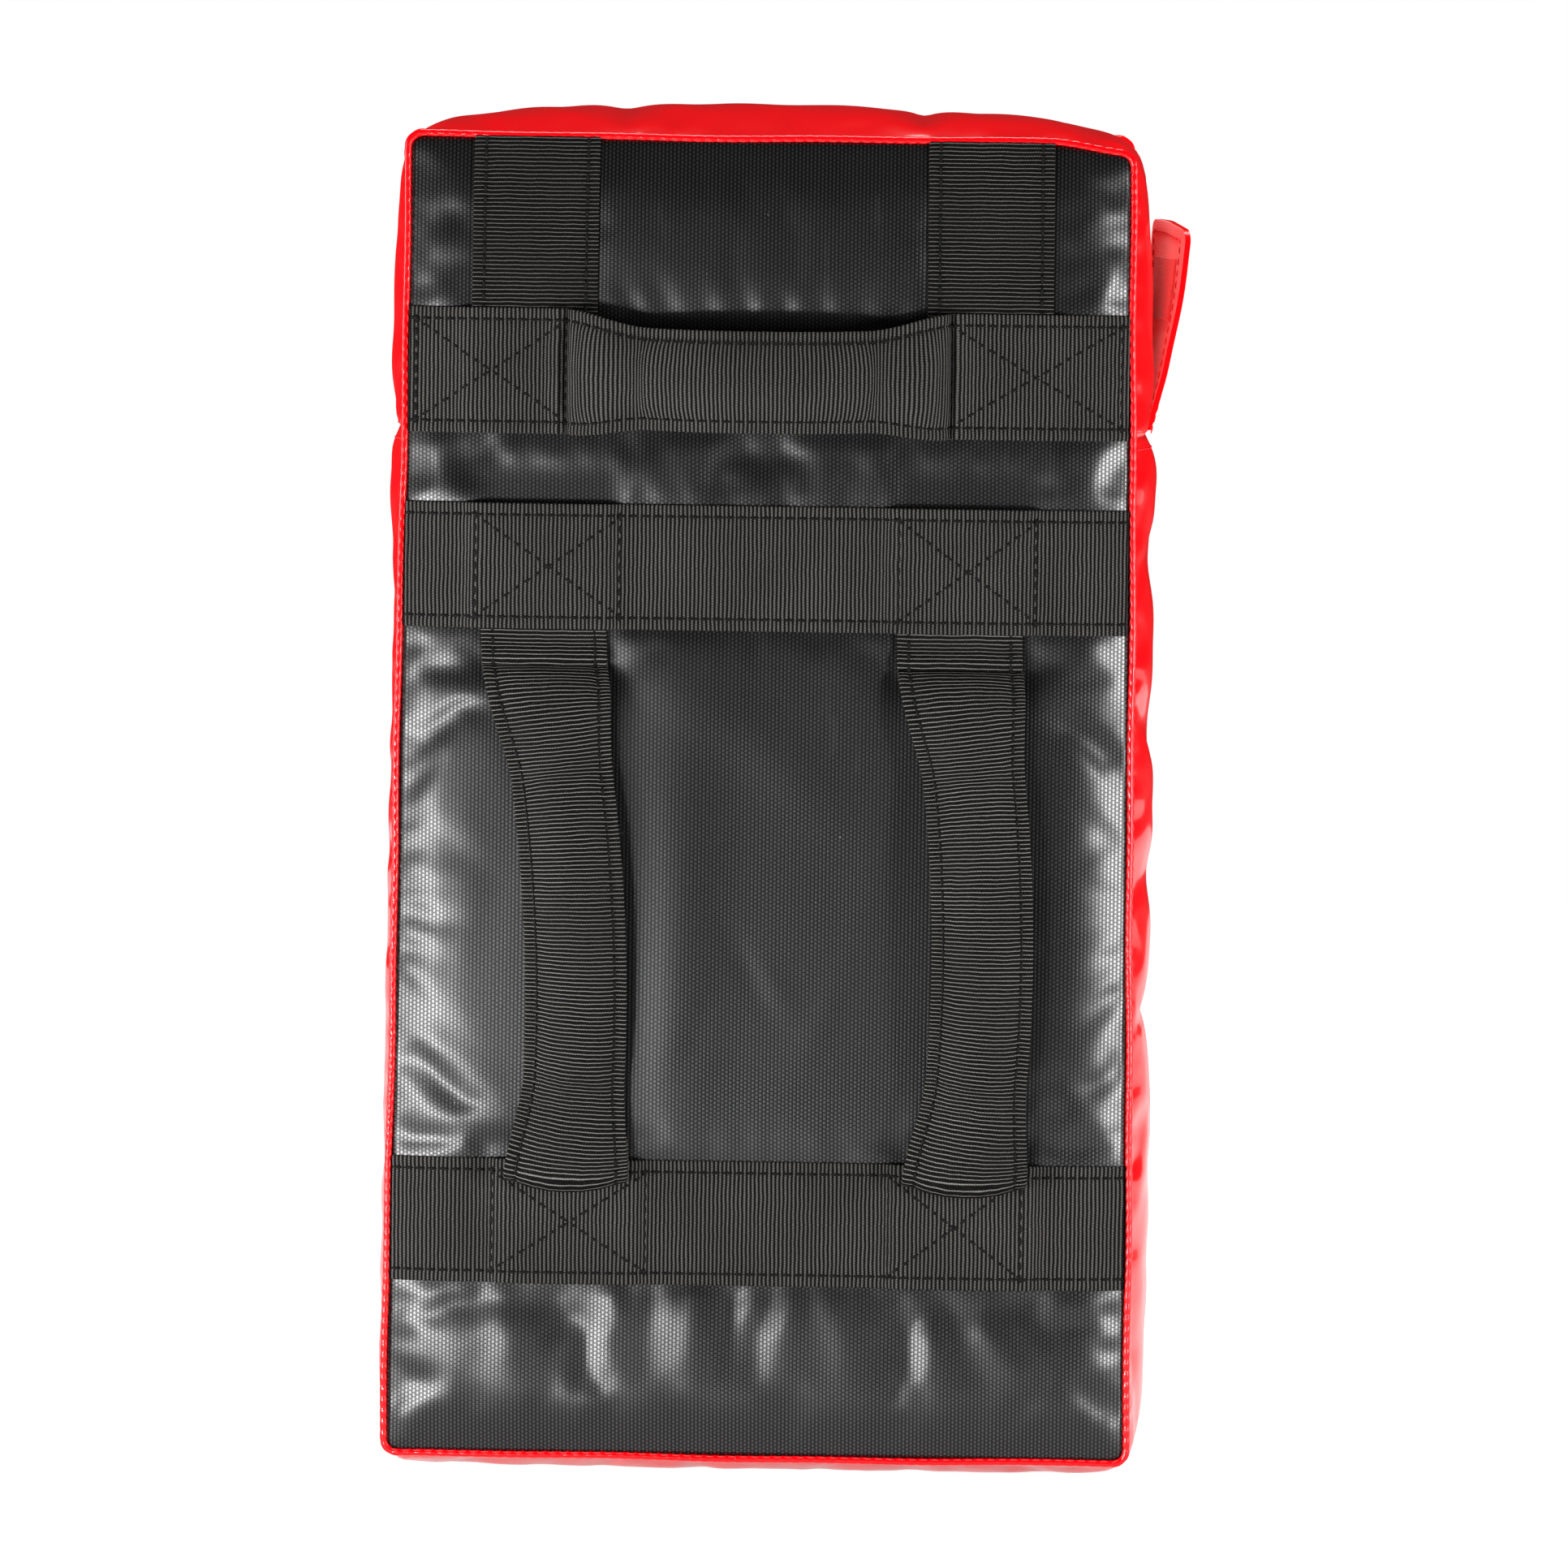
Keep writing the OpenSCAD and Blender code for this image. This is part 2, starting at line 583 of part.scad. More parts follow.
// The closure flap turns about its rounded lower edge, close to the side of the top gusset
flap_z = cross_seam_z + flap_rise + flap_t / 2;
function side_x(z, t) = half_w + welt_out + side_bulge * full(side_s(z), side_fullness) * swell(t);
function side_t(y) = (y - back_y - gusset_lip) / (gusset_d - 2 * gusset_lip);
flap_x = side_x(flap_z, 0.5) + fit + flap_t / 2;
tape_rise = flap_h - tape_drop;
module flap_frame() { translate([flap_x, flap_y, flap_z]) rotate([0, flap_rest, 0]) children(); }
module flap_outline() {
    hull() {
        translate([-flap_d / 2, 0]) square([flap_d, flap_r]);
        for (s = [-1, 1])
            translate([s * (flap_d / 2 - flap_r), flap_h - flap_r]) circle(r = flap_r);
    }
}
module closure_flap() {
    color(red_vinyl)
        flap_frame() {
            rotate([90, 0, 0]) cylinder(d = flap_t, h = flap_d, center = true);
            rotate([90, 0, 90]) linear_extrude(flap_t, center = true) flap_outline();
        }
}
module flap_hook_tape() {
    color(red_tape)
        flap_frame()
            translate([-flap_t / 2 - tape_t, -tape_l / 2, tape_rise - tape_h / 2])
                cube([tape_t, tape_l, tape_h]);
}
module flap_loop_tape() {
    zs = [for (i = [0:tape_up_n]) flap_z + tape_rise + tape_h * (i / tape_up_n - 1 / 2)];
    ys = [for (i = [0:tape_deep_n]) flap_y + tape_l * (i / tape_deep_n - 1 / 2)];
    function row(y, e) = [for (z = zs) [side_x(z, side_t(y)) + e, y, z]];
    color(red_tape) sheet([for (y = ys) row(y, fit + tape_t)], [for (y = ys) row(y, fit)]);
}

back_panel();
front_panel();
top_gusset();
bottom_gusset();
back_welt();
front_welt();
strike_foam();
core_foam();
back_foam();
left_top_strap();
right_top_strap();
upper_strap_left();
upper_strap_right();
middle_strap();
lower_strap();
left_handle_upper_end();
left_handle_lower_end();
right_handle_upper_end();
right_handle_lower_end();
left_handle_webbing();
left_handle_lining();
left_handle_core();
right_handle_webbing();
right_handle_lining();
right_handle_core();
top_handle_webbing();
top_handle_lining();
top_handle_core();
closure_flap();
flap_hook_tape();
flap_loop_tape();
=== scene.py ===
# %% [markdown]
# # A strike shield, sewn and lit
# The object is a kick shield seen from the holder's side: a foam block in a sewn vinyl cover, with
# webbing bands and padded handles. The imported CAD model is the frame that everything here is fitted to.
# Each soft CAD solid is replaced by a sewn piece of the same size and place, which moves as that solid does.

# %% Load the frame
import json
import math

import bmesh
import bpy
import numpy as np
from mathutils import Matrix, Vector


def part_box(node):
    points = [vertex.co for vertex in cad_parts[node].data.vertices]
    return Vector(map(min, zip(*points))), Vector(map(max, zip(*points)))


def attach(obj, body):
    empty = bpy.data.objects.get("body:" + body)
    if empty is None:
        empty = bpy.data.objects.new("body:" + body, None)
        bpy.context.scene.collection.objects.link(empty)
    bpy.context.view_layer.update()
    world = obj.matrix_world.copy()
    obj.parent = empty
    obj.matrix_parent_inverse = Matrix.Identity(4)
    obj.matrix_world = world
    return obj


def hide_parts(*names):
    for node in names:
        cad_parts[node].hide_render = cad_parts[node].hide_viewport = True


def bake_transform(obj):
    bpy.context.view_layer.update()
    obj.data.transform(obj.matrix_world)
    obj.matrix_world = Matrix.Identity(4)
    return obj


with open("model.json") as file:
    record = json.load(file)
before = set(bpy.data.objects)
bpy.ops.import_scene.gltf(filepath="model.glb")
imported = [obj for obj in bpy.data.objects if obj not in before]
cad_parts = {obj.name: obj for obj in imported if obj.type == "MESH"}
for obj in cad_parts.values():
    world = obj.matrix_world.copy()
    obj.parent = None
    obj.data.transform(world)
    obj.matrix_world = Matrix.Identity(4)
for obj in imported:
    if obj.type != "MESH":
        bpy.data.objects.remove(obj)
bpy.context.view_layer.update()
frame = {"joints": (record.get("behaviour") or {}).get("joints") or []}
scene = bpy.context.scene
scene.view_settings.view_transform = "Standard"
MM = 0.001

# %% [markdown]
# ## Camera
# The photograph is taken with a long lens from a little above the middle of the shield, almost square to
# its back. A camera could be placed by eye, but a few measures fix it: how far round, how high and how much
# rolled it is, how many pixels one metre takes at the back panel, and where the panel's centre falls.

# %% Camera
IMAGE_PX = 1932
SENSOR_MM = 36.0
CAMERA_DISTANCE = 4.5
CAMERA_REACH = 100.0
CAMERA_AZIMUTH = math.radians(1.1)
CAMERA_ELEVATION = math.radians(4.0)
CAMERA_ROLL = math.radians(0.786)
PX_PER_M = 3088.0
PANEL_CENTRE = Vector((0.0, -0.065, 0.2715))
PANEL_CENTRE_PX = (940.3, 986.9)


def add_camera():
    """A camera that shows PANEL_CENTRE at PANEL_CENTRE_PX."""
    forward = Vector((
        -math.sin(CAMERA_AZIMUTH) * math.cos(CAMERA_ELEVATION),
        math.cos(CAMERA_AZIMUTH) * math.cos(CAMERA_ELEVATION),
        -math.sin(CAMERA_ELEVATION),
    ))
    level = Vector((math.cos(CAMERA_AZIMUTH), math.sin(CAMERA_AZIMUTH), 0))
    upright = level.cross(forward)
    right = level * math.cos(CAMERA_ROLL) + upright * math.sin(CAMERA_ROLL)
    up = upright * math.cos(CAMERA_ROLL) - level * math.sin(CAMERA_ROLL)
    aim = PANEL_CENTRE.copy()
    aim += right * (IMAGE_PX / 2 - PANEL_CENTRE_PX[0]) / PX_PER_M
    aim += up * (PANEL_CENTRE_PX[1] - IMAGE_PX / 2) / PX_PER_M
    data = bpy.data.cameras.new("camera")
    data.sensor_width = SENSOR_MM
    data.lens = SENSOR_MM * CAMERA_DISTANCE * PX_PER_M / IMAGE_PX
    data.clip_end = CAMERA_REACH
    camera = bpy.data.objects.new("camera", data)
    place = Matrix((right, up, -forward)).transposed().to_4x4()
    place.translation = aim - forward * CAMERA_DISTANCE
    camera.matrix_world = place
    scene.collection.objects.link(camera)
    scene.camera = camera
    return camera


camera = add_camera()
print("camera:", round(camera.data.lens, 1), "mm lens")

# %% [markdown]
# ## Sizes from the frame
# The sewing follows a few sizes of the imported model: where the seams run and where each band and handle
# lies. Reading them from the boxes of the CAD nodes keeps both models in step. The sewing's lengths are in
# millimetres until a mesh is made, and those of the floor and the lamps are in metres.

# %% Sizes from the frame
WEBBING_T = 1.6
PANEL_EDGE = 1.2


def box_mm(node):
    """The lowest and highest corner of a CAD node, in millimetres."""
    low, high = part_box(node)
    return np.array(low) / MM, np.array(high) / MM


def middle_mm(node):
    """The centre of a CAD node's box, in millimetres."""
    low, high = box_mm(node)
    return (low + high) / 2


panel_low, panel_high = box_mm("back_panel")
HALF_W = panel_high[0] + PANEL_EDGE
BASE_Z = panel_low[2] - PANEL_EDGE
TOP_Z = panel_high[2] + PANEL_EDGE
MID_Z = (BASE_Z + TOP_Z) / 2
HALF_H = (TOP_Z - BASE_Z) / 2
BACK_Y = middle_mm("back_welt")[1]
FRONT_Y = middle_mm("front_welt")[1]
DEPTH = FRONT_Y - BACK_Y
BACK_CROWN = BACK_Y - panel_low[1]
FRONT_CROWN = box_mm("front_panel")[1][1] - FRONT_Y
LOWER_Z = middle_mm("lower_strap")[2]
MIDDLE_Z = middle_mm("middle_strap")[2]
UPPER_Z = middle_mm("upper_strap_left")[2]
HALF_BAND = (box_mm("lower_strap")[1][2] - box_mm("lower_strap")[0][2]) / 2
LEFT_STRIP_X = middle_mm("left_top_strap")[0]
RIGHT_STRIP_X = middle_mm("right_top_strap")[0]
CROSS_SEAM_Z = box_mm("top_gusset")[0][2]
BANDS_Z = (LOWER_Z, MIDDLE_Z, UPPER_Z)
STRIPS_X = (LEFT_STRIP_X, RIGHT_STRIP_X)
HANDLES = ("left_handle", "right_handle")
print("seam", 2 * HALF_W, "x", 2 * HALF_H, "depth", DEPTH, "crowns", BACK_CROWN, FRONT_CROWN)
print("bands at", LOWER_Z, MIDDLE_Z, UPPER_Z, "half", HALF_BAND, "cross seam", CROSS_SEAM_Z)

# %% [markdown]
# ## Shader maths
# A finish is easier to read as a formula than as a web of nodes. A Term wraps one output of a node, and
# its operators add Math nodes, so a weave can be written as it would be on paper.


# %% Shader maths
class Term:
    """A number that changes over a surface: operators on it add Math nodes."""

    def __init__(self, finish, socket):
        self.finish = finish
        self.socket = socket

    def math(self, operation, *values):
        return self.finish.math(operation, self, *values)

    def __add__(self, other):
        return self.math("ADD", other)

    def __sub__(self, other):
        return self.math("SUBTRACT", other)

    def __mul__(self, other):
        return self.math("MULTIPLY", other)

    def __truediv__(self, other):
        return self.math("DIVIDE", other)

    def __rsub__(self, other):
        return self.finish.math("SUBTRACT", other, self)

    __radd__ = __add__

    def swing(self):
        """From -1 to 1 over each whole step."""
        return self.math("FRACT") * 2 - 1

    def peak(self):
        """1 at each whole step, 0 half way between."""
        return self.swing().math("ABSOLUTE")

    def output(self, name):
        """Another output of the same node."""
        return Term(self.finish, self.socket.node.outputs[name])


print("shader terms ready")

# %% [markdown]
# ## A finish
# A Finish is one material. Its node method adds any node, with its settings first and then its socket values
# or links, and its other methods are the few patterns that the finishes below share.


# %% A finish
class Finish:
    """A material whose nodes are added one by one."""

    def __init__(self, name):
        self.material = bpy.data.materials.new(name)
        self.material.use_nodes = True
        self.tree = self.material.node_tree
        self.tree.nodes.clear()

    def node(self, kind, settings=None, sockets=None, output=0):
        """Adds a node, sets it up, fills its sockets and gives one of its outputs."""
        node = self.tree.nodes.new(kind)
        for name, value in (settings or {}).items():
            setattr(node, name, value)
        for name, value in (sockets or {}).items():
            if isinstance(value, Term):
                self.tree.links.new(value.socket, node.inputs[name])
            else:
                node.inputs[name].default_value = value
        return Term(self, node.outputs[output]) if node.outputs else None

    def math(self, operation, *values):
        return self.node("ShaderNodeMath", {"operation": operation}, dict(enumerate(values)))

    def noise(self, place, size_mm, detail=2.0):
        """Soft noise whose patches are about size_mm across on Object coordinates."""
        sockets = {"Vector": place, "Scale": 1 / (size_mm * MM), "Detail": detail}
        return self.node("ShaderNodeTexNoise", {}, sockets)

    def cells(self, size_mm):
        """The distance to the nearest of many points about size_mm apart, in shares of that size."""
        return self.node("ShaderNodeTexVoronoi", {}, {"Vector": self.place(), "Scale": 1 / (size_mm * MM)})

    def mix(self, share, first, second):
        """A colour between two others."""
        return self.node("ShaderNodeMix", {"data_type": "RGBA"}, {0: share, 6: first, 7: second}, 2)

    def place(self):
        """Object coordinates, in metres."""
        return self.node("ShaderNodeTexCoord", output="Object")

    def split(self, vector):
        """The three numbers of a vector."""
        first = self.node("ShaderNodeSeparateXYZ", {}, {0: vector})
        return first, first.output("Y"), first.output("Z")

    def band(self, value, low, high):
        """0 below low, 1 above high and smooth between."""
        sockets = {"Value": value, "From Min": low, "From Max": high}
        return self.node("ShaderNodeMapRange", {"interpolation_type": "SMOOTHSTEP"}, sockets)

    def close(self, colour, roughness, height, relief_mm, **fixed):
        """Ends the material in a Principled shader with a bump of relief_mm."""
        bump = self.node("ShaderNodeBump", {}, {"Height": height, "Distance": relief_mm * MM}, "Normal")
        sockets = {"Base Color": colour, "Roughness": roughness, "Normal": bump}
        for name, value in fixed.items():
            sockets[name.replace("_", " ")] = value
        shader = self.node("ShaderNodeBsdfPrincipled", {}, sockets)
        self.node("ShaderNodeOutputMaterial", {}, {"Surface": shader})
        return self.material


def srgb(red, green, blue):
    """A colour picked on screen, 0 to 255, as Blender's linear colour."""
    def linear(value):
        share = value / 255
        return share / 12.92 if share <= 0.04045 else ((share + 0.055) / 1.055) ** 2.4
    return (linear(red), linear(green), linear(blue), 1.0)


print("finishes ready")

# %% [markdown]
# ## Floor and sky
# A pale floor and a white sky fill the view. Both are white for rays from the camera, and the floor keeps a
# faint shadow of the shield. The floor ends a little in front of the shield, so that only the foot of the
# panel mirrors it and the top stays black.

# %% Floor and sky
FLOOR_SIDE, FLOOR_FRONT, FLOOR_BACK = 20.0, 0.8, 3.0
FLOOR_GLOW = 0.93
FLOOR_GREY = (0.5, 0.5, 0.5, 1.0)
WORLD_STRENGTH = 0.03


def floor_finish():
    """White to the camera and to mirrors, grey to all other light."""
    finish = Finish("pale_floor")
    path = finish.node("ShaderNodeLightPath", output="Is Camera Ray")
    seen = finish.math("MAXIMUM", path, path.output("Is Glossy Ray"))
    seen = finish.math("MAXIMUM", seen, path.output("Is Transmission Ray"))
    matt = finish.node("ShaderNodeBsdfDiffuse", {}, {"Color": FLOOR_GREY})
    glow = finish.node("ShaderNodeEmission", {}, {"Strength": FLOOR_GLOW})
    both = finish.node("ShaderNodeAddShader", {}, {0: matt, 1: glow})
    shader = finish.node("ShaderNodeMixShader", {}, {0: seen, 1: matt, 2: both})
    finish.node("ShaderNodeOutputMaterial", {}, {"Surface": shader})
    return finish.material


def add_floor():
    """One large rectangle on the plane that the shield stands on."""
    mesh = bpy.data.meshes.new("floor")
    near = [(-FLOOR_SIDE, -FLOOR_FRONT, 0), (FLOOR_SIDE, -FLOOR_FRONT, 0)]
    far = [(FLOOR_SIDE, FLOOR_BACK, 0), (-FLOOR_SIDE, FLOOR_BACK, 0)]
    mesh.from_pydata(near + far, [], [(0, 1, 2, 3)])
    mesh.materials.append(floor_finish())
    floor = bpy.data.objects.new("floor", mesh)
    scene.collection.objects.link(floor)


def add_world():
    """A sky that the camera sees as white, and that lights the shield at a low level."""
    world = bpy.data.worlds.new("studio")
    world.use_nodes = True
    nodes, links = world.node_tree.nodes, world.node_tree.links
    path = nodes.new("ShaderNodeLightPath")
    level = nodes.new("ShaderNodeMapRange")
    level.inputs["To Min"].default_value = WORLD_STRENGTH
    links.new(path.outputs["Is Camera Ray"], level.inputs["Value"])
    links.new(level.outputs["Result"], nodes["Background"].inputs["Strength"])
    nodes["Background"].inputs["Color"].default_value = (1, 1, 1, 1)
    scene.world = world


add_floor()
add_world()
print("floor and sky ready")

# %% [markdown]
# ## Softboxes
# Three narrow softboxes stand low beside the camera: the rolled edges of the black panel and its foot mirror
# them as pale streaks. Two large ones light the gussets from the sides, one hangs overhead, and a small one
# behind the shield lights its front. Each is written as its degrees round to the right from the camera's
# side, its height and its distance, then its width, its tallness and its watts.

# %% Softboxes
LIGHT_TARGET = Vector((0.0, -0.06, 0.27))
SOFTBOXES = {
    "left_softbox": (-40, 0.10, 1.2, 0.32, 0.26, 9.5),
    "foot_softbox": (-24, 0.02, 1.1, 0.50, 0.05, 8),
    "right_softbox": (45, 0.20, 1.3, 0.18, 0.50, 15.5),
    "left_side_softbox": (-80, 0.45, 2.0, 0.8, 1.0, 40),
    "right_side_softbox": (80, 0.45, 2.0, 0.8, 1.0, 22),
    "top_softbox": (180, 2.2, 0.1, 1.0, 0.8, 31),
    "far_softbox": (180, 0.25, 1.5, 0.26, 0.40, 9),
}


def add_softbox(name, azimuth, height, distance, width, tall, watts):
    """A rectangular lamp that faces the shield."""
    lamp = bpy.data.lights.new(name, "AREA")
    lamp.shape = "RECTANGLE"
    lamp.size = width
    lamp.size_y = tall
    lamp.energy = watts
    turn = math.radians(azimuth)
    spot = Vector((math.sin(turn) * distance, -math.cos(turn) * distance, height))
    holder = bpy.data.objects.new(name, lamp)
    holder.matrix_world = (LIGHT_TARGET - spot).to_track_quat("-Z", "Y").to_matrix().to_4x4()
    holder.matrix_world.translation = spot
    scene.collection.objects.link(holder)


for name, lamp in SOFTBOXES.items():
    add_softbox(name, *lamp)
print("softboxes:", len(SOFTBOXES))

# %% [markdown]
# ## Webbing
# The bands and handles are heavy black polyester webbing, 50 mm wide. Its ribs run across the strap about
# 1.6 mm apart, and each rib is a row of small yarn humps, set over by half a hump from rib to rib. A woven
# mesh would need millions of faces, so the humps are a formula on the strap's own UV map, which holds
# millimetres along the strap and in from its edge. The same humps drive the colour, the roughness and the
# bump. The colour is near black in the valleys between ribs and yarns, a painted shade, and grey over the
# humps, the yarn's own dark colour with a painted sheen. The sewn bands, the grips and the top strips lie at
# their own angles to the light, so each has its own rib width and its own hump colour, lighter or darker as
# painted light and shade.

# %% Webbing
RIB_PITCH = 1.64
YARN_PITCH = 1.03
RIB_RELIEF = 0.4
RIB_WANDER, WANDER_SIZE = 0.5, 9.0
YARN_DIP = 0.6
FUZZ_SIZE, FUZZ_SHADE, FUZZ_RELIEF = 0.5, 0.2, 0.15
WEAR_SIZE, WEAR, WEAR_LEAST = 35.0, 0.7, 0.65
VALLEY_ROUGH, HUMP_GLOSS = 0.75, 0.2
WEBBING_SPECULAR = 0.04
# Painted shade in the valleys; each piece's hump colour is the yarn with painted light and sheen.
WEBBING_VALLEY_SHADE = srgb(5, 5, 5)
BAND_HUMP_PAINTED_LIGHT, BAND_RIB = srgb(86, 84, 81), (0.1, 0.74)
GRIP_HUMP_PAINTED_LIGHT, GRIP_RIB = srgb(132, 129, 125), (0.0, 0.4)
STRIP_HUMP_PAINTED_LIGHT, STRIP_RIB = srgb(106, 103, 99), (0.0, 0.4)


def webbing_finish(name, hump, rib):
    """Black webbing with ribs across it, on a UV map in millimetres; a rib falls off between two shares."""
    finish = Finish(name)
    along, from_edge, _ = finish.split(finish.node("ShaderNodeTexCoord", output="UV"))
    wander = finish.noise(finish.place(), WANDER_SIZE)
    ribs = along / RIB_PITCH + wander * RIB_WANDER
    barrel = 1 - finish.band(ribs.peak(), *rib)
    yarn = (from_edge / YARN_PITCH + ribs.math("FLOOR") * 0.5).swing()
    weave = barrel * (1 - yarn * yarn * YARN_DIP)
    fuzz = finish.noise(finish.place(), FUZZ_SIZE)
    worn = finish.noise(finish.place(), WEAR_SIZE, detail=3.0)
    share = weave * (worn * WEAR + WEAR_LEAST) + (fuzz - 0.5) * FUZZ_SHADE
    # The colour paints shade in the valleys and light and sheen on the humps.
    colour = finish.mix(share, WEBBING_VALLEY_SHADE, hump)
    roughness = VALLEY_ROUGH - weave * HUMP_GLOSS
    height = weave + fuzz * FUZZ_RELIEF
    return finish.close(colour, roughness, height, RIB_RELIEF, Specular_IOR_Level=WEBBING_SPECULAR)


webbing = webbing_finish("black_webbing_ribs", BAND_HUMP_PAINTED_LIGHT, BAND_RIB)
grip_webbing = webbing_finish("black_webbing_grip", GRIP_HUMP_PAINTED_LIGHT, GRIP_RIB)
strip_webbing = webbing_finish("black_webbing_strip", STRIP_HUMP_PAINTED_LIGHT, STRIP_RIB)
print("finishes:", webbing.name, grip_webbing.name, strip_webbing.name)

# %% [markdown]
# ## Black vinyl
# The back panel is coated fabric. The knit shows through the coating as upright columns of small stitches,
# set over by half a stitch from column to column. The coat is glossier over a stitch than between them, so
# the softbox streaks break into grains, and each stitch is painted grey over the black, a painted sheen.
# Slow changes of gloss, a few soft scuffs and sparse pale specks keep it from looking like plastic sheet.

# %% Black vinyl
KNIT_PITCH = 1.51
KNIT_STEP = 1.65
KNIT_RELIEF = 0.07
SPECK_SPACING = 11.0
SPECK_R = 0.28
VINYL_BLACK = srgb(4, 4, 4)
# The grey of the stitches' painted sheen, and of the scuffs and slow patches.
VINYL_SHEEN_AND_WEAR_GREY = srgb(34, 34, 35)
SPECK_GREY = srgb(190, 190, 190)
KNIT_ACROSS, KNIT_UPRIGHT = (0.2, 0.8), (0.4, 0.95)
SLOW_SIZE, GRAIN_SIZE, SCUFF_SIZE = 60.0, 0.7, 7.0
SCUFF_STRETCH, SCUFF_BAND = (1.0, 1.0, 0.2), (0.62, 0.78)
SPECK_CHOICE = (0.7, 0.72)
KNIT_PAINTED_SHEEN, SCUFF_SHADE, SLOW_SHADE = 0.9, 0.15, 0.1
VINYL_ROUGH, SLOW_ROUGH, SCUFF_ROUGH, SPECK_ROUGH = 0.28, 0.14, 0.1, 0.3
GRAIN_RELIEF = 0.25
VINYL_SPECULAR, COAT_ROUGH = 0.16, 0.26
COAT_LEAST, COAT_OVER_STITCH = 0.12, 0.85


def black_vinyl_finish():
    """Glossy black coating over a knit, on Object coordinates."""
    finish = Finish("black_vinyl_knit")
    place = finish.place()
    x, _, z = finish.split(place)
    columns = x / (KNIT_PITCH * MM)
    stitches = z / (KNIT_STEP * MM) + columns.math("FLOOR") * 0.5
    across = columns.peak()
    upright = stitches.peak()
    ridge = (1 - finish.band(across, *KNIT_ACROSS)) * (1 - finish.band(upright, *KNIT_UPRIGHT))
    slow = finish.noise(place, SLOW_SIZE, detail=3.0)
    grain = finish.noise(place, GRAIN_SIZE)
    streaks = finish.node("ShaderNodeMapping", {}, {"Vector": place, "Scale": SCUFF_STRETCH})
    scuff = finish.band(finish.noise(streaks, SCUFF_SIZE, detail=4.0), *SCUFF_BAND)
    cells = finish.cells(SPECK_SPACING)
    reach = SPECK_R / SPECK_SPACING
    chosen = finish.band(finish.split(cells.output("Color"))[0], *SPECK_CHOICE)
    speck = (1 - finish.band(cells, reach / 2, reach)) * chosen
    # Painted sheen: each stitch is painted greyer than the black between; scuffs and slow patches add wear
    # and tone.
    shade = ridge * KNIT_PAINTED_SHEEN + scuff * SCUFF_SHADE + slow * SLOW_SHADE
    colour = finish.mix(speck, finish.mix(shade, VINYL_BLACK, VINYL_SHEEN_AND_WEAR_GREY), SPECK_GREY)
    roughness = VINYL_ROUGH + slow * SLOW_ROUGH + scuff * SCUFF_ROUGH + speck * SPECK_ROUGH
    height = ridge + grain * GRAIN_RELIEF
    gloss = {
        "Specular_IOR_Level": VINYL_SPECULAR,
        "Coat_Weight": ridge * COAT_OVER_STITCH + COAT_LEAST,
        "Coat_Roughness": COAT_ROUGH,
    }
    return finish.close(colour, roughness, height, KNIT_RELIEF, **gloss)


black_vinyl = black_vinyl_finish()
print("finish:", black_vinyl.name)

# %% [markdown]
# ## Red vinyl
# The front panel, gussets, seams and flap are the same coated fabric in red, with a smoother, wetter gloss.
# The fabric shows only as a faint grain, and small ripples of the coat wander over it. The flap's inner face
# is the bare back of the fabric: matt, finely woven and a little paler, and painted paler and pinker still as
# painted light, for the light that shines through the thin flap.

# %% Red vinyl
VINYL_RED = srgb(246, 2, 12)
VINYL_DEEP_RED = srgb(226, 0, 8)
RIPPLE_SIZE, RIPPLE_RELIEF, RIPPLE_GRAIN = 9.0, 0.12, 0.10
RED_GRAIN_SIZE, RED_SLOW_SIZE = 0.8, 50.0
DEEP_SLOW, DEEP_GRAIN = 0.6, 0.25
RED_ROUGH, RED_SLOW_ROUGH, RED_GRAIN_ROUGH = 0.32, 0.1, 0.05
RED_GLOSS = {"Specular_IOR_Level": 0.06, "Coat_Weight": 0.5, "Coat_Roughness": 0.12}
# The backing's own paler colour, painted paler and pinker still as painted light.
BACKING_PINK_PAINTED_LIGHT = srgb(255, 190, 186)
BACKING_RED_PAINTED_LIGHT = srgb(255, 160, 156)
BACKING_PITCH, BACKING_RELIEF = 0.9, 0.12
BACKING_ROUGH, WEAVE_ROUGH = 0.7, 0.15
BACKING_THIN = {"Subsurface_Weight": 1.0, "Subsurface_Radius": (0.004, 0.002, 0.002), "Subsurface_Scale": 1.0}


def red_vinyl_finish():
    """Wet red coating with a faint grain."""
    finish = Finish("red_vinyl_gloss")
    place = finish.place()
    ripple = finish.noise(place, RIPPLE_SIZE, detail=3.0)
    grain = finish.noise(place, RED_GRAIN_SIZE)
    slow = finish.noise(place, RED_SLOW_SIZE)
    colour = finish.mix(slow * DEEP_SLOW + grain * DEEP_GRAIN, VINYL_RED, VINYL_DEEP_RED)
    roughness = RED_ROUGH + slow * RED_SLOW_ROUGH + grain * RED_GRAIN_ROUGH
    return finish.close(colour, roughness, ripple + grain * RIPPLE_GRAIN, RIPPLE_RELIEF, **RED_GLOSS)


def red_backing_finish():
    """The bare woven back of the red fabric, painted paler and pinker as painted light."""
    finish = Finish("red_vinyl_backing")
    _, y, z = finish.split(finish.place())
    weave = (y / (BACKING_PITCH * MM)).peak() * (z / (BACKING_PITCH * MM)).peak()
    colour = finish.mix(weave, BACKING_PINK_PAINTED_LIGHT, BACKING_RED_PAINTED_LIGHT)
    roughness = BACKING_ROUGH + weave * WEAVE_ROUGH
    return finish.close(colour, roughness, 1 - weave, BACKING_RELIEF, **BACKING_THIN)


red_vinyl = red_vinyl_finish()
red_backing = red_backing_finish()
print("finishes:", red_vinyl.name, red_backing.name)

# %% [markdown]
# ## Thread, foam and tape
# Small finishes remain. The straps' thread is twisted black polyester and the seams' thread is red. The
# foam inside is pale and full of fine pores, and the closing tape is a dense field of short hooks in the
# pale salmon of the flap's inner face, painted light like that face.

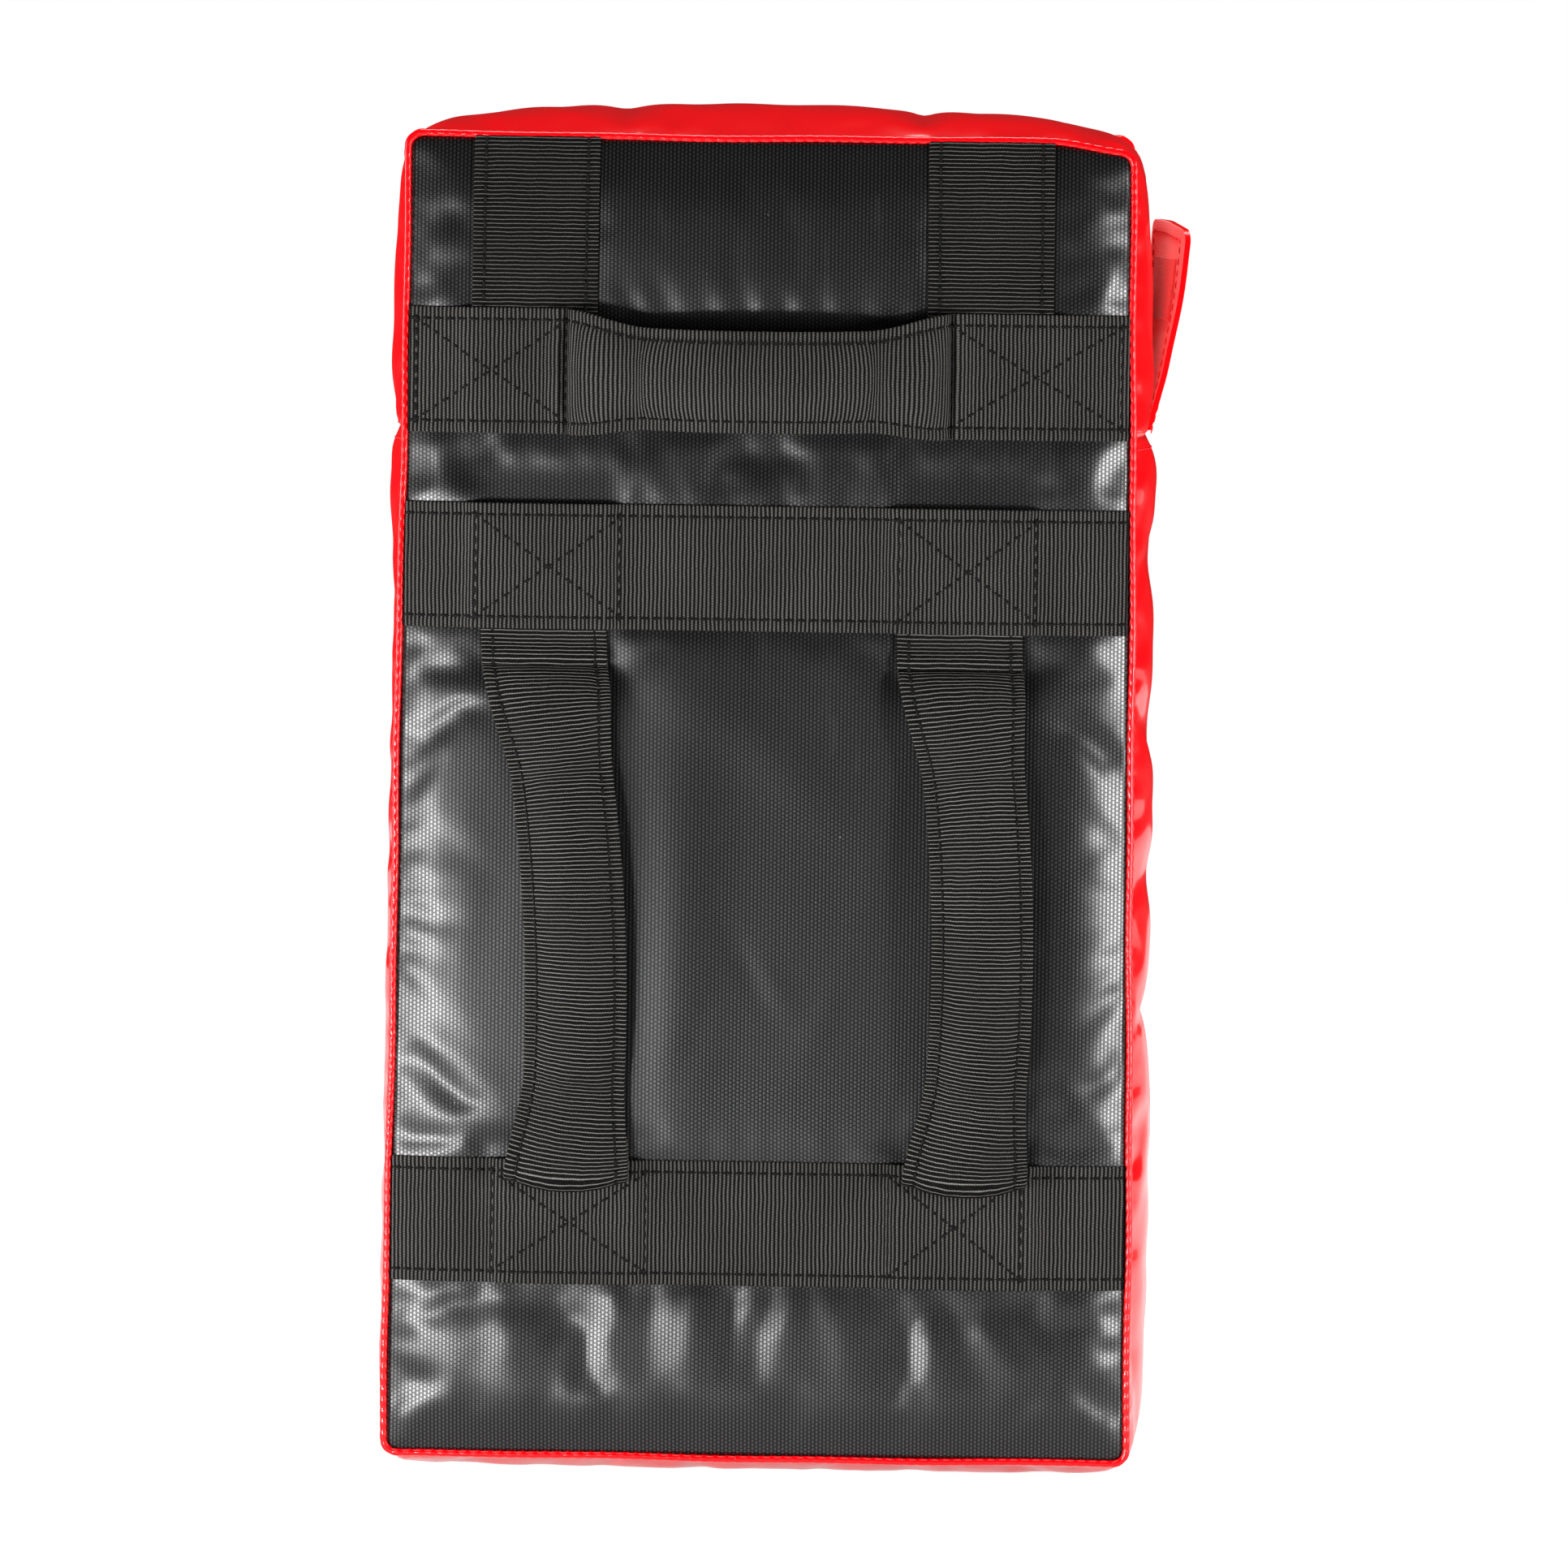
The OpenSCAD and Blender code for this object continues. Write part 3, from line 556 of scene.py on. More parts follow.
# %% Thread, foam and tape
THREAD_DARK = srgb(2, 2, 2)
THREAD_LIGHT = srgb(16, 16, 16)
SEAM_THREAD_DARK = srgb(205, 10, 18)
SEAM_THREAD_LIGHT = srgb(250, 70, 70)
FOAM_PALE = srgb(222, 214, 190)
FOAM_PORE = srgb(170, 160, 132)
# The tape's pale salmon copies the painted light of the flap's inner face.
TAPE_LIGHT = srgb(255, 176, 172)
TAPE_DARK = srgb(255, 140, 136)
STRAND_SIZE, STRAND_RELIEF, STRAND_ROUGH = 0.35, 0.1, 0.3
THREAD_ROUGH, THREAD_SPECULAR = 0.5, 0.1
PORE_SIZE, PORE_RELIEF, PORE_BAND = 1.4, 0.4, (0.15, 0.6)
FOAM_ROUGH, PORE_ROUGH = 0.85, 0.1
HOOK_SIZE, HOOK_RELIEF, HOOK_BAND = 0.9, 0.5, (0.1, 0.5)
TAPE_ROUGH, HOOK_GLOSS = 0.8, 0.2


def thread_finish(name, dark, light):
    """Twisted sewing thread."""
    finish = Finish(name)
    strand = finish.noise(finish.place(), STRAND_SIZE)
    colour = finish.mix(strand, dark, light)
    roughness = THREAD_ROUGH + strand * STRAND_ROUGH
    return finish.close(colour, roughness, strand, STRAND_RELIEF, Specular_IOR_Level=THREAD_SPECULAR)


def foam_finish():
    """Pale open-cell foam."""
    finish = Finish("pale_foam_cells")
    pore = finish.band(finish.cells(PORE_SIZE), *PORE_BAND)
    colour = finish.mix(pore, FOAM_PORE, FOAM_PALE)
    return finish.close(colour, FOAM_ROUGH + pore * PORE_ROUGH, pore, PORE_RELIEF)


def tape_finish():
    """A dense field of small hooks."""
    finish = Finish("red_hook_tape")
    tip = 1 - finish.band(finish.cells(HOOK_SIZE), *HOOK_BAND)
    colour = finish.mix(tip, TAPE_DARK, TAPE_LIGHT)
    return finish.close(colour, TAPE_ROUGH - tip * HOOK_GLOSS, tip, HOOK_RELIEF)


thread = thread_finish("black_thread_twist", THREAD_DARK, THREAD_LIGHT)
seam_thread = thread_finish("red_thread_twist", SEAM_THREAD_DARK, SEAM_THREAD_LIGHT)
foam = foam_finish()
tape = tape_finish()
print("finishes:", thread.name, seam_thread.name, foam.name, tape.name)

# %% [markdown]
# ## Making a mesh
# Most pieces below are a list of points in millimetres and a list of faces. One helper turns them into an
# object at the origin, in metres, smooth except across sharp folds, with its faces turned outwards.

# %% Making a mesh
SHARP_FOLD = math.radians(42)


def make_piece(name, points, faces, material, uvs=None):
    """An object from points in millimetres; uvs holds one pair for each point."""
    mesh = bpy.data.meshes.new(name)
    mesh.from_pydata((np.asarray(points) * MM).tolist(), [], faces)
    work = bmesh.new()
    work.from_mesh(mesh)
    bmesh.ops.recalc_face_normals(work, faces=work.faces)
    work.to_mesh(mesh)
    work.free()
    if uvs is not None:
        corners = np.zeros(len(mesh.loops), dtype=np.int32)
        mesh.loops.foreach_get("vertex_index", corners)
        layer = mesh.uv_layers.new(name="millimetres")
        layer.data.foreach_set("uv", np.asarray(uvs, dtype=np.float32)[corners].ravel())
    mesh.polygons.foreach_set("use_smooth", [True] * len(mesh.polygons))
    mesh.set_sharp_from_angle(angle=SHARP_FOLD)
    mesh.materials.append(material)
    piece = bpy.data.objects.new(name, mesh)
    scene.collection.objects.link(piece)
    return piece


def dress(piece, body, slot, *nodes):
    """The piece rides on a body and stands for CAD nodes, whose solids it hides; slot is not used."""
    if body:
        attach(piece, body)
    if nodes:
        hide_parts(*nodes)


def smooth(share):
    """0 at 0, 1 at 1, level at both ends."""
    share = np.clip(share, 0.0, 1.0)
    return share * share * (3 - 2 * share)


print("mesh helpers ready")

# %% [markdown]
# ## The cover before it is filled
# The cover is one closed bag with the outline of a rounded rectangle, slightly narrower at the top, as in the
# photograph. It starts a little slack, and the filling will push it out. The shape of the bag is a handful of
# formulas: the crown of the panels, the swelling of each side, and the dents and pinches that the seams make.

# %% The cover before it is filled
GRID_X, GRID_Z, GRID_Y = 58, 104, 22
CORNER_R = 5.0
CROWN_REACH = 28.0
TAPER = 2.4
SLACK = 0.75
LEFT_BULGE_LOW, LEFT_BULGE_HIGH = 2.0, 7.5
LEFT_BULGE_Z = (350.0, 410.0)
RIGHT_BULGE, RIGHT_DENT, DENT_REACH = 9.0, 3.6, 15.0
RIGHT_DENTS_Z = (367.0, 303.0, 238.0, 186.0)
FLARE, FLARE_DROP, FLARE_REACH = 3.5, 11.0, 14.0
CROSS_PINCH, CROSS_PINCH_REACH = 1.8, 5.0
CORNER_DIP, DIP_REACH, DIP_DEPTH = 4.0, 36.0, 45.0
TOP_PINCHES = ((126.0, 6.0, 3.0), (60.0, 7.0, 1.6), (-58.0, 8.0, 1.4), (-120.0, 7.0, 1.6))
TOP_BULGE, BASE_BULGE = 13.0, 12.0
SIDE_FULL, TOP_FULL, BASE_FULL = 0.45, 0.12, 0.75
SWELL_FLAT, SWELL_ROUND, FULL_POWER = 2.6, 0.7, 3


def tapered(x, z):
    """The sideways place of a point: narrower at the top, wider at the base."""
    return x * (1 - TAPER / HALF_W * (z - MID_Z) / HALF_H)


def roll(distance):
    """How far the filling has lifted a panel, from its rim inwards."""
    share = np.clip(distance / CROWN_REACH, 0.0, 1.0)
    return 1 - (1 - share) ** 2


def crown(x, z):
    """The share of a panel's crown at a place, 0 on the rim and 1 over the middle."""
    return roll(HALF_W - np.abs(x)) * roll(HALF_H - np.abs(z - MID_Z))


def round_corner(x, z):
    """Bends the corner squares of the grid onto an arc; also gives the outward direction there."""
    tall = z - MID_Z
    over_x = np.clip(np.abs(x) - (HALF_W - CORNER_R), 0, None) / CORNER_R
    over_z = np.clip(np.abs(tall) - (HALF_H - CORNER_R), 0, None) / CORNER_R
    bent_x = over_x * np.sqrt(1 - over_z ** 2 / 2)
    bent_z = over_z * np.sqrt(1 - over_x ** 2 / 2)
    flat_x = np.minimum(np.abs(x), HALF_W - CORNER_R)
    flat_z = np.minimum(np.abs(tall), HALF_H - CORNER_R)
    new_x = np.sign(x) * (flat_x + bent_x * CORNER_R)
    new_z = np.sign(tall) * (flat_z + bent_z * CORNER_R) + MID_Z
    way = np.stack([np.sign(x) * bent_x, np.sign(tall) * bent_z], axis=-1)
    return new_x, new_z, way


def swell(depth_share):
    """The gusset's profile from one seam to the other."""
    return (1 - np.abs(2 * depth_share - 1) ** SWELL_FLAT) ** SWELL_ROUND


def fullness(along, least):
    """How full a side is: 1 in its middle, least at its ends."""
    return least + (1 - least) * (1 - np.abs(along) ** FULL_POWER)


def side_bulge(x, z):
    """How far each side of the gusset stands out, with the dents of the right side."""
    left = LEFT_BULGE_LOW + (LEFT_BULGE_HIGH - LEFT_BULGE_LOW) * smooth(
        (z - LEFT_BULGE_Z[0]) / (LEFT_BULGE_Z[1] - LEFT_BULGE_Z[0]))
    right = np.full_like(z, RIGHT_BULGE)
    for dent_z in RIGHT_DENTS_Z:
        right = right - RIGHT_DENT * np.exp(-((z - dent_z) / DENT_REACH) ** 2)
    right = right + FLARE * np.exp(-((z - CROSS_SEAM_Z + FLARE_DROP) / FLARE_REACH) ** 2)
    pinch = CROSS_PINCH * np.exp(-((z - CROSS_SEAM_Z) / CROSS_PINCH_REACH) ** 2)
    return np.where(x > 0, right, left) * fullness((z - MID_Z) / HALF_H, SIDE_FULL) - pinch


def corner_dip(x, z):
    """How far the seam is pulled down at the top right corner."""
    near_side = smooth((x - HALF_W + DIP_REACH) / DIP_REACH)
    return CORNER_DIP * near_side * smooth((z - TOP_Z + DIP_DEPTH) / DIP_DEPTH)


def top_pinch(x):
    """How deep the top gusset is drawn in by its tight stitches."""
    return sum(depth * np.exp(-((x - at) / reach) ** 2) for at, reach, depth in TOP_PINCHES)


print("bulges:", LEFT_BULGE_HIGH, "mm left,", RIGHT_BULGE, "mm right,", TOP_BULGE, "mm at the top")

# %% [markdown]
# ## The grid of the bag
# Both panels are grids of the same squares, bent onto the arc near the corners, and the gusset's first and
# last rows are their rims. Each row between is the back rim, pushed out by the swelling at its depth.

# %% The grid of the bag
PINCH_GAIN = 4
ON_ARC = 0.5


def cover_grid():
    """The points of the slack bag, its panel grids' indices and its gusset rows' indices."""
    xs = np.linspace(-HALF_W, HALF_W, GRID_X + 1)
    zs = np.linspace(BASE_Z, TOP_Z, GRID_Z + 1)
    x, z = np.meshgrid(xs, zs, indexing="ij")
    lift = crown(x, z)
    px, pz, way = round_corner(x, z)
    px = tapered(px, pz)
    back = np.stack([px, BACK_Y - BACK_CROWN * lift, pz - corner_dip(px, pz)], axis=-1)
    front = np.stack([px, FRONT_Y + FRONT_CROWN * lift, pz], axis=-1)
    rim = [(i, 0) for i in range(GRID_X)]
    rim += [(GRID_X, j) for j in range(GRID_Z)]
    rim += [(i, GRID_Z) for i in range(GRID_X, 0, -1)]
    rim += [(0, j) for j in range(GRID_Z, 0, -1)]
    rim_i = np.array([i for i, _ in rim])
    rim_j = np.array([j for _, j in rim])
    rim_back = back[rim_i, rim_j]
    out = way[rim_i, rim_j]
    on_side = (rim_i == 0) | (rim_i == GRID_X)
    straight = np.where(on_side, np.sign(x[rim_i, rim_j]), 0)
    upright = np.where(~on_side, np.sign(z[rim_i, rim_j] - MID_Z), 0)
    off_arc = np.linalg.norm(out, axis=1) < ON_ARC
    out[off_arc] = np.stack([straight, upright], axis=-1)[off_arc]
    out /= np.linalg.norm(out, axis=1, keepdims=True)
    sides = side_bulge(rim_back[:, 0], rim_back[:, 2]) * out[:, 0] ** 2
    ends = np.where(
        out[:, 1] > 0,
        TOP_BULGE * fullness(rim_back[:, 0] / HALF_W, TOP_FULL),
        BASE_BULGE * fullness(rim_back[:, 0] / HALF_W, BASE_FULL),
    ) * out[:, 1] ** 2
    drawn = top_pinch(rim_back[:, 0]) * np.clip(out[:, 1], 0, None)
    dip = corner_dip(rim_back[:, 0], rim_back[:, 2])
    rows = []
    for k in range(1, GRID_Y):
        share = k / GRID_Y
        push = (sides + ends) * SLACK * swell(share) - drawn * PINCH_GAIN * share * (1 - share) ** 2
        row = rim_back.copy()
        row[:, 2] += dip * share
        row[:, 0] += out[:, 0] * push
        row[:, 2] += out[:, 1] * push
        row[:, 1] = BACK_Y + DEPTH * share
        row[:, 2] = np.maximum(row[:, 2], 0.0)
        rows.append(row)
    count = (GRID_X + 1) * (GRID_Z + 1)
    points = np.concatenate([back.reshape(-1, 3), front.reshape(-1, 3)] + rows)
    back_index = np.arange(count).reshape(GRID_X + 1, GRID_Z + 1)
    front_index = back_index + count
    gusset_index = [back_index[rim_i, rim_j]]
    for k in range(1, GRID_Y):
        gusset_index.append(2 * count + (k - 1) * len(rim) + np.arange(len(rim)))
    gusset_index.append(front_index[rim_i, rim_j])
    return points, back_index, front_index, np.array(gusset_index)


def panel_faces(index):
    """The squares of a panel grid."""
    quads = np.stack([index[:-1, :-1], index[1:, :-1], index[1:, 1:], index[:-1, 1:]], axis=-1)
    return quads.reshape(-1, 4)


def gusset_faces(index):
    """The squares of the gusset, row by row round the shield."""
    turned = np.roll(index, -1, axis=1)
    quads = np.stack([index[:-1], index[1:], turned[1:], turned[:-1]], axis=-1)
    return quads.reshape(-1, 4)


slack_points, back_index, front_index, gusset_index = cover_grid()
back_quads = panel_faces(back_index)
front_quads = panel_faces(front_index)[:, ::-1]
gusset_quads = gusset_faces(gusset_index)
all_quads = np.concatenate([back_quads, front_quads, gusset_quads])
print("cover:", len(slack_points), "points,", len(all_quads), "squares")

# %% [markdown]
# ## Filling the cover
# Foam pushes the cover out wherever no seam or strap holds it. A sculpted bulge would be too even, so the
# bag is filled by Blender's cloth: the seams, the sewn bands and the handles' ends are pinned, a little
# spare fabric is let in, and pressure does the rest. The move of each point is capped, because foam is
# firm, and the base is set back on the floor.

# %% Filling the cover
FILL_FRAMES = 20
FILL_PRESSURE = 4.0
SPARE_FABRIC = 0.015
PANEL_CAP = 2.2
GUSSET_CAP = 4.0
PIN_MARGIN = 1.5
HANDLE_END_HALF_W = 27.0
HANDLE_TAB_DROP = 18.0
TINY = 1e-9
FABRIC = {
    "quality": 6, "mass": 0.3, "air_damping": 2.0, "tension_stiffness": 20, "compression_stiffness": 20,
    "shear_stiffness": 8, "bending_stiffness": 0.6, "use_pressure": True,
    "uniform_pressure_force": FILL_PRESSURE, "shrink_min": -SPARE_FABRIC,
}


def held_points(points):
    """Which points the sewing holds: seams, bands, strips and the handles' ends."""
    held = np.zeros(len(points), dtype=bool)
    held[gusset_index[0]] = True
    held[gusset_index[-1]] = True
    back = back_index.ravel()
    x, z = points[back, 0], points[back, 2]
    reach = HALF_BAND + PIN_MARGIN
    sewn = np.zeros(len(back), dtype=bool)
    for band_z in BANDS_Z:
        sewn |= np.abs(z - band_z) < reach
    for strip_x in STRIPS_X:
        sewn |= (np.abs(x - strip_x) < reach) & (z > UPPER_Z)
    for handle in HANDLES:
        handle_x = middle_mm(handle + "_upper_end")[0]
        near = np.abs(x - handle_x) < HANDLE_END_HALF_W
        sewn |= near & (np.abs(z - MIDDLE_Z) < HALF_BAND + HANDLE_TAB_DROP)
        sewn |= near & (np.abs(z - LOWER_Z) < HALF_BAND + HANDLE_TAB_DROP / 2)
    held[back] |= sewn
    seam_row = np.abs(points[gusset_index[1:-1], 2] - CROSS_SEAM_Z) < DEPTH / GRID_Y / 2
    held[gusset_index[1:-1][seam_row]] = True
    return held


def cap_move(start, end, cap):
    """Moves each point towards end, easing off as the move nears the cap."""
    move = end - start
    length = np.linalg.norm(move, axis=1, keepdims=True)
    eased = cap * np.tanh(length / cap)
    return start + move * eased / np.maximum(length, TINY)


def fill_cover(points, faces):
    """The points of the bag after its filling has pushed it out."""
    bag = make_piece("slack_bag", points, faces, red_vinyl)
    group = bag.vertex_groups.new(name="held")
    group.add(np.nonzero(held_points(points))[0].tolist(), 1.0, "REPLACE")
    cloth = bag.modifiers.new("filling", "CLOTH")
    for name, value in FABRIC.items():
        setattr(cloth.settings, name, value)
    cloth.settings.vertex_group_mass = "held"
    cloth.settings.effector_weights.gravity = 0
    cloth.collision_settings.use_collision = False
    cloth.point_cache.frame_start = 1
    cloth.point_cache.frame_end = FILL_FRAMES
    for step in range(1, FILL_FRAMES + 1):
        scene.frame_set(step)
    filled_bag = bag.evaluated_get(bpy.context.evaluated_depsgraph_get())
    filled = np.zeros(len(points) * 3, dtype=np.float32)
    filled_bag.data.vertices.foreach_get("co", filled)
    scene.frame_set(1)
    bpy.data.objects.remove(bag)
    filled = filled.reshape(-1, 3) / MM
    cap = np.full((len(points), 1), PANEL_CAP)
    cap[gusset_index[1:-1].ravel()] = GUSSET_CAP
    result = cap_move(points, filled, cap)
    result[:, 2] = np.maximum(result[:, 2], 0.0)
    return result


cover_points = fill_cover(slack_points, all_quads.tolist())
print("filling moved the cover up to", np.abs(cover_points - slack_points).max().round(2), "mm")

# %% [markdown]
# ## Folds of the cover
# Coated fabric over foam doesn't lie smooth: it puckers along the sewn bands and seams, and a few folds run
# out from the places that are pulled most. Simulating them would need a far finer mesh, so they are added
# as a relief. A fold is a long soft ridge or dent with a place, an angle, a half length, a half width and a
# height, read from the photograph.

# %% Folds of the back panel
EDGE_FOLDS = (
    (-131, 257, -38, 20, 6.0, -0.30), (-130, 183, -42, 20, 6.5, -0.35), (-128, 330, 25, 20, 7.0, -0.20),
    (-133, 135, 35, 16, 7.0, -0.20), (133, 313, 32, 14, 5.5, -0.40), (132, 254, 38, 14, 5.5, -0.40),
    (133, 193, 28, 14, 6.0, -0.40), (134, 60, 35, 14, 6.0, -0.30),
)
FIELD_FOLDS = (
    (-36, 318, -36, 46, 15.0, 0.50), (-12, 338, -28, 40, 8.0, -0.20), (12, 282, -48, 40, 12.0, 0.20),
    (-6, 206, -62, 16, 5.0, -0.20), (6, 196, -55, 14, 5.0, 0.15), (-26, 176, 70, 15, 5.0, -0.20),
    (24, 184, 62, 18, 6.0, 0.20), (46, 250, 80, 40, 10.0, 0.20), (-34, 225, 90, 85, 16.0, 1.20),
    (112, 316, 58, 28, 7.0, 0.25), (120, 300, 62, 22, 6.0, -0.20), (112, 236, -68, 28, 8.0, 0.15),
    (114, 170, 60, 24, 8.0, 0.15), (-112, 300, -70, 30, 9.0, 0.20), (-108, 226, 74, 30, 8.0, -0.15),
    (-112, 160, -62, 24, 9.0, 0.20),
)
TOP_FOLDS = (
    (131, 472, 70, 20, 5.0, 0.35), (123, 456, -58, 15, 5.0, -0.30), (-134, 482, 78, 22, 5.0, 0.15),
    (-128, 462, 52, 15, 4.5, -0.25), (-119, 404, 62, 15, 5.5, -0.35), (-104, 403, 66, 13, 5.0, 0.30),
    (-132, 404, 80, 14, 5.5, 0.20), (-62, 398, 24, 22, 6.0, 0.20), (-34, 406, -22, 22, 6.0, -0.20),
    (2, 397, 12, 26, 6.0, 0.20), (36, 405, -20, 22, 6.0, -0.20), (62, 398, 20, 20, 6.0, 0.20),
    (88, 404, 55, 13, 5.0, -0.25), (120, 404, -52, 15, 5.0, 0.30), (134, 402, 60, 13, 5.0, -0.25),
)
FOOT_FOLDS = (
    (-100, 60, 94, 26, 7.5, 0.90), (-80, 60, 88, 22, 6.5, -0.60), (-62, 58, 86, 28, 7.0, 0.80),
    (-44, 61, 92, 22, 6.5, -0.60), (-25, 59, 84, 28, 7.0, 0.80), (-8, 62, 96, 20, 6.5, -0.50),
    (12, 62, 88, 20, 6.5, 0.50), (35, 60, 96, 24, 6.5, 0.60), (51, 60, 98, 22, 6.5, -0.45),
    (68, 58, 102, 26, 7.0, 0.65), (84, 54, -66, 28, 6.5, -0.50), (101, 51, -60, 31, 7.0, 0.75),
    (118, 58, -64, 24, 7.0, -0.45), (-90, 25, 4, 70, 15.0, 1.10), (20, 24, -3, 80, 15.0, 0.90),
    (100, 24, -5, 50, 14.0, 0.70),
)
FOLDS = EDGE_FOLDS + FIELD_FOLDS + TOP_FOLDS + FOOT_FOLDS
print("folds:", len(FOLDS))

# %% [markdown]
# ## Relief of the back panel
# Puckers are waves that fade away from a sewn edge. They are added to the folds, and where a band, a strip or
# a tab lies on the panel the relief is taken out.

# %% Relief of the back panel
BAND_PUCKER, SEAM_PUCKER = 0.16, 0.10
PUCKER_PITCH, PUCKER_REACH = 15.0, 7.0
LONG_DRIFT, LONG_DRIFT_SPAN = 4.5, 29.0
SHORT_DRIFT, SHORT_DRIFT_SPAN = 2.5, 11.0
COVERED_EDGE, COVERED_FADE = 1.0, 5.0
RIM_FADE = 4.0


def fold_heights(x, z, folds):
    """The summed heights of soft ridges and dents."""
    height = np.zeros_like(x)
    for at_x, at_z, angle, length, width, top in folds:
        turn = math.radians(angle)
        along = (x - at_x) * math.cos(turn) + (z - at_z) * math.sin(turn)
        across = (z - at_z) * math.cos(turn) - (x - at_x) * math.sin(turn)
        height += top * np.exp(-(along / length) ** 2 - (across / width) ** 2)
    return height


def waves(along, phase):
    """Uneven waves of height 1, about PUCKER_PITCH apart."""
    bent = along + LONG_DRIFT * np.sin(along / LONG_DRIFT_SPAN + phase)
    bent = bent + SHORT_DRIFT * np.sin(along / SHORT_DRIFT_SPAN + 2 * phase)
    return np.sin(2 * math.pi * bent / PUCKER_PITCH + phase)


def free_of(gap):
    """0 under something sewn on the panel, 1 a few millimetres outside it."""
    return smooth((gap + COVERED_EDGE) / COVERED_FADE)


def panel_relief(points):
    """How far each point of the back panel is lifted by folds and puckers."""
    x, z = points[:, 0], points[:, 2]
    height = fold_heights(x, z, FOLDS)
    free = np.ones_like(x)
    for band_z in BANDS_Z:
        gap = np.abs(z - band_z) - HALF_BAND
        height += BAND_PUCKER * waves(x, band_z) * np.exp(-np.maximum(gap, 0) / PUCKER_REACH)
        free *= free_of(gap)
    for strip_x in STRIPS_X:
        free *= np.where(z > UPPER_Z, free_of(np.abs(x - strip_x) - HALF_BAND), 1.0)
    for handle in HANDLES:
        tab_x = middle_mm(handle + "_upper_end")[0]
        past_side = np.abs(x - tab_x) - HALF_BAND
        past_end = np.abs(z - MIDDLE_Z) - HALF_BAND - HANDLE_TAB_DROP
        free *= free_of(np.maximum(past_side, past_end))
    rim = HALF_W - np.abs(x)
    height += SEAM_PUCKER * waves(z, np.sign(x)) * np.exp(-rim / PUCKER_REACH)
    free *= smooth(rim / RIM_FADE) * smooth((HALF_H - np.abs(z - MID_Z)) / RIM_FADE)
    return height * free


print("puckers:", BAND_PUCKER, "mm high along the bands")

# %% [markdown]
# ## Folds of the gussets
# The gussets pucker where they are gathered onto the panels' seams, and long soft waves run across their
# depth. Both are waves along the edge of the shield, which is height on the sides and width on the ends.
# Under the closure flap the gusset is held in by the tape, so it lies flatter there.

# %% Folds of the gussets
GATHER, GATHER_REACH, GATHER_START = 0.35, 13.0, 3.0
NEAR_PHASE, FAR_PHASE = 0.4, 2.1
CROSS_WAVE, WAVE_SLANT, WAVE_STRETCH, WAVE_PHASE = 0.25, 0.3, 2.3, 1.3
FLOOR_BAND = 1.0
FLAP_DENT, DENT_FADE = 4.0, 12.0


def gusset_relief(points):
    """How far each point of a gusset is lifted by its gathers and waves, or drawn in under the flap."""
    x, y, z = points.T
    on_side = np.abs(x) > HALF_W - CORNER_R / 2
    along = np.where(on_side, z, x)
    near, far = y - BACK_Y, FRONT_Y - y
    height = np.zeros_like(x)
    for gap, phase in ((near, NEAR_PHASE), (far, FAR_PHASE)):
        gathered = np.exp(-np.maximum(gap, 0) / GATHER_REACH) * smooth(gap / GATHER_START)
        height += GATHER * waves(along, phase + np.sign(x)) * gathered
    middle = smooth(np.minimum(near, far) / GATHER_REACH)
    height += CROSS_WAVE * waves((along + WAVE_SLANT * y) / WAVE_STRETCH, WAVE_PHASE) * middle
    low, high = box_mm("closure_flap")
    held = smooth((y - low[1]) / DENT_FADE + 1) * smooth(far / DENT_FADE)
    held *= smooth((z - low[2]) / DENT_FADE) * smooth((high[2] - z) / DENT_FADE + 2)
    height -= FLAP_DENT * held * (x > 0)
    return np.where(z > FLOOR_BAND, height, 0.0)


print("gathers:", GATHER, "mm high")

# %% [markdown]
# ## The four pieces of the cover
# The bag is cut along its seams into the pieces that a maker would cut: the black back panel, the front
# panel, and two gussets that meet at a cross seam on each side. Each is made finer by one subdivision, the
# back panel and the gussets get their folds, and each gets the thickness of the coated fabric inwards.

# %% The four pieces of the cover
VINYL_T = 1.0


def cut_piece(name, quads, material, relief=None):
    """A piece of the cover as its own object, with folds and thickness."""
    used, corners = np.unique(quads, return_inverse=True)
    faces = corners.reshape(quads.shape).tolist()
    mesh = bpy.data.meshes.new(name)
    mesh.from_pydata((cover_points[used] * MM).tolist(), [], faces)
    piece = bpy.data.objects.new(name, mesh)
    scene.collection.objects.link(piece)
    finer = piece.modifiers.new("finer", "SUBSURF")
    finer.levels = 1
    finer.render_levels = 1
    graph = bpy.context.evaluated_depsgraph_get()
    mesh = bpy.data.meshes.new_from_object(piece.evaluated_get(graph), depsgraph=graph)
    piece.modifiers.remove(finer)
    piece.data = mesh
    if relief:
        spots = np.zeros(len(mesh.vertices) * 3, dtype=np.float32)
        ways = np.zeros_like(spots)
        mesh.vertices.foreach_get("co", spots)
        mesh.vertex_normals.foreach_get("vector", ways)
        lift = relief(spots.reshape(-1, 3) / MM) * MM
        spots = spots.reshape(-1, 3) + ways.reshape(-1, 3) * lift[:, None]
        mesh.vertices.foreach_set("co", spots.astype(np.float32).ravel())
    mesh.polygons.foreach_set("use_smooth", [True] * len(mesh.polygons))
    mesh.materials.append(material)
    wall = piece.modifiers.new("wall", "SOLIDIFY")
    wall.thickness = VINYL_T * MM
    wall.offset = -1.0
    return piece


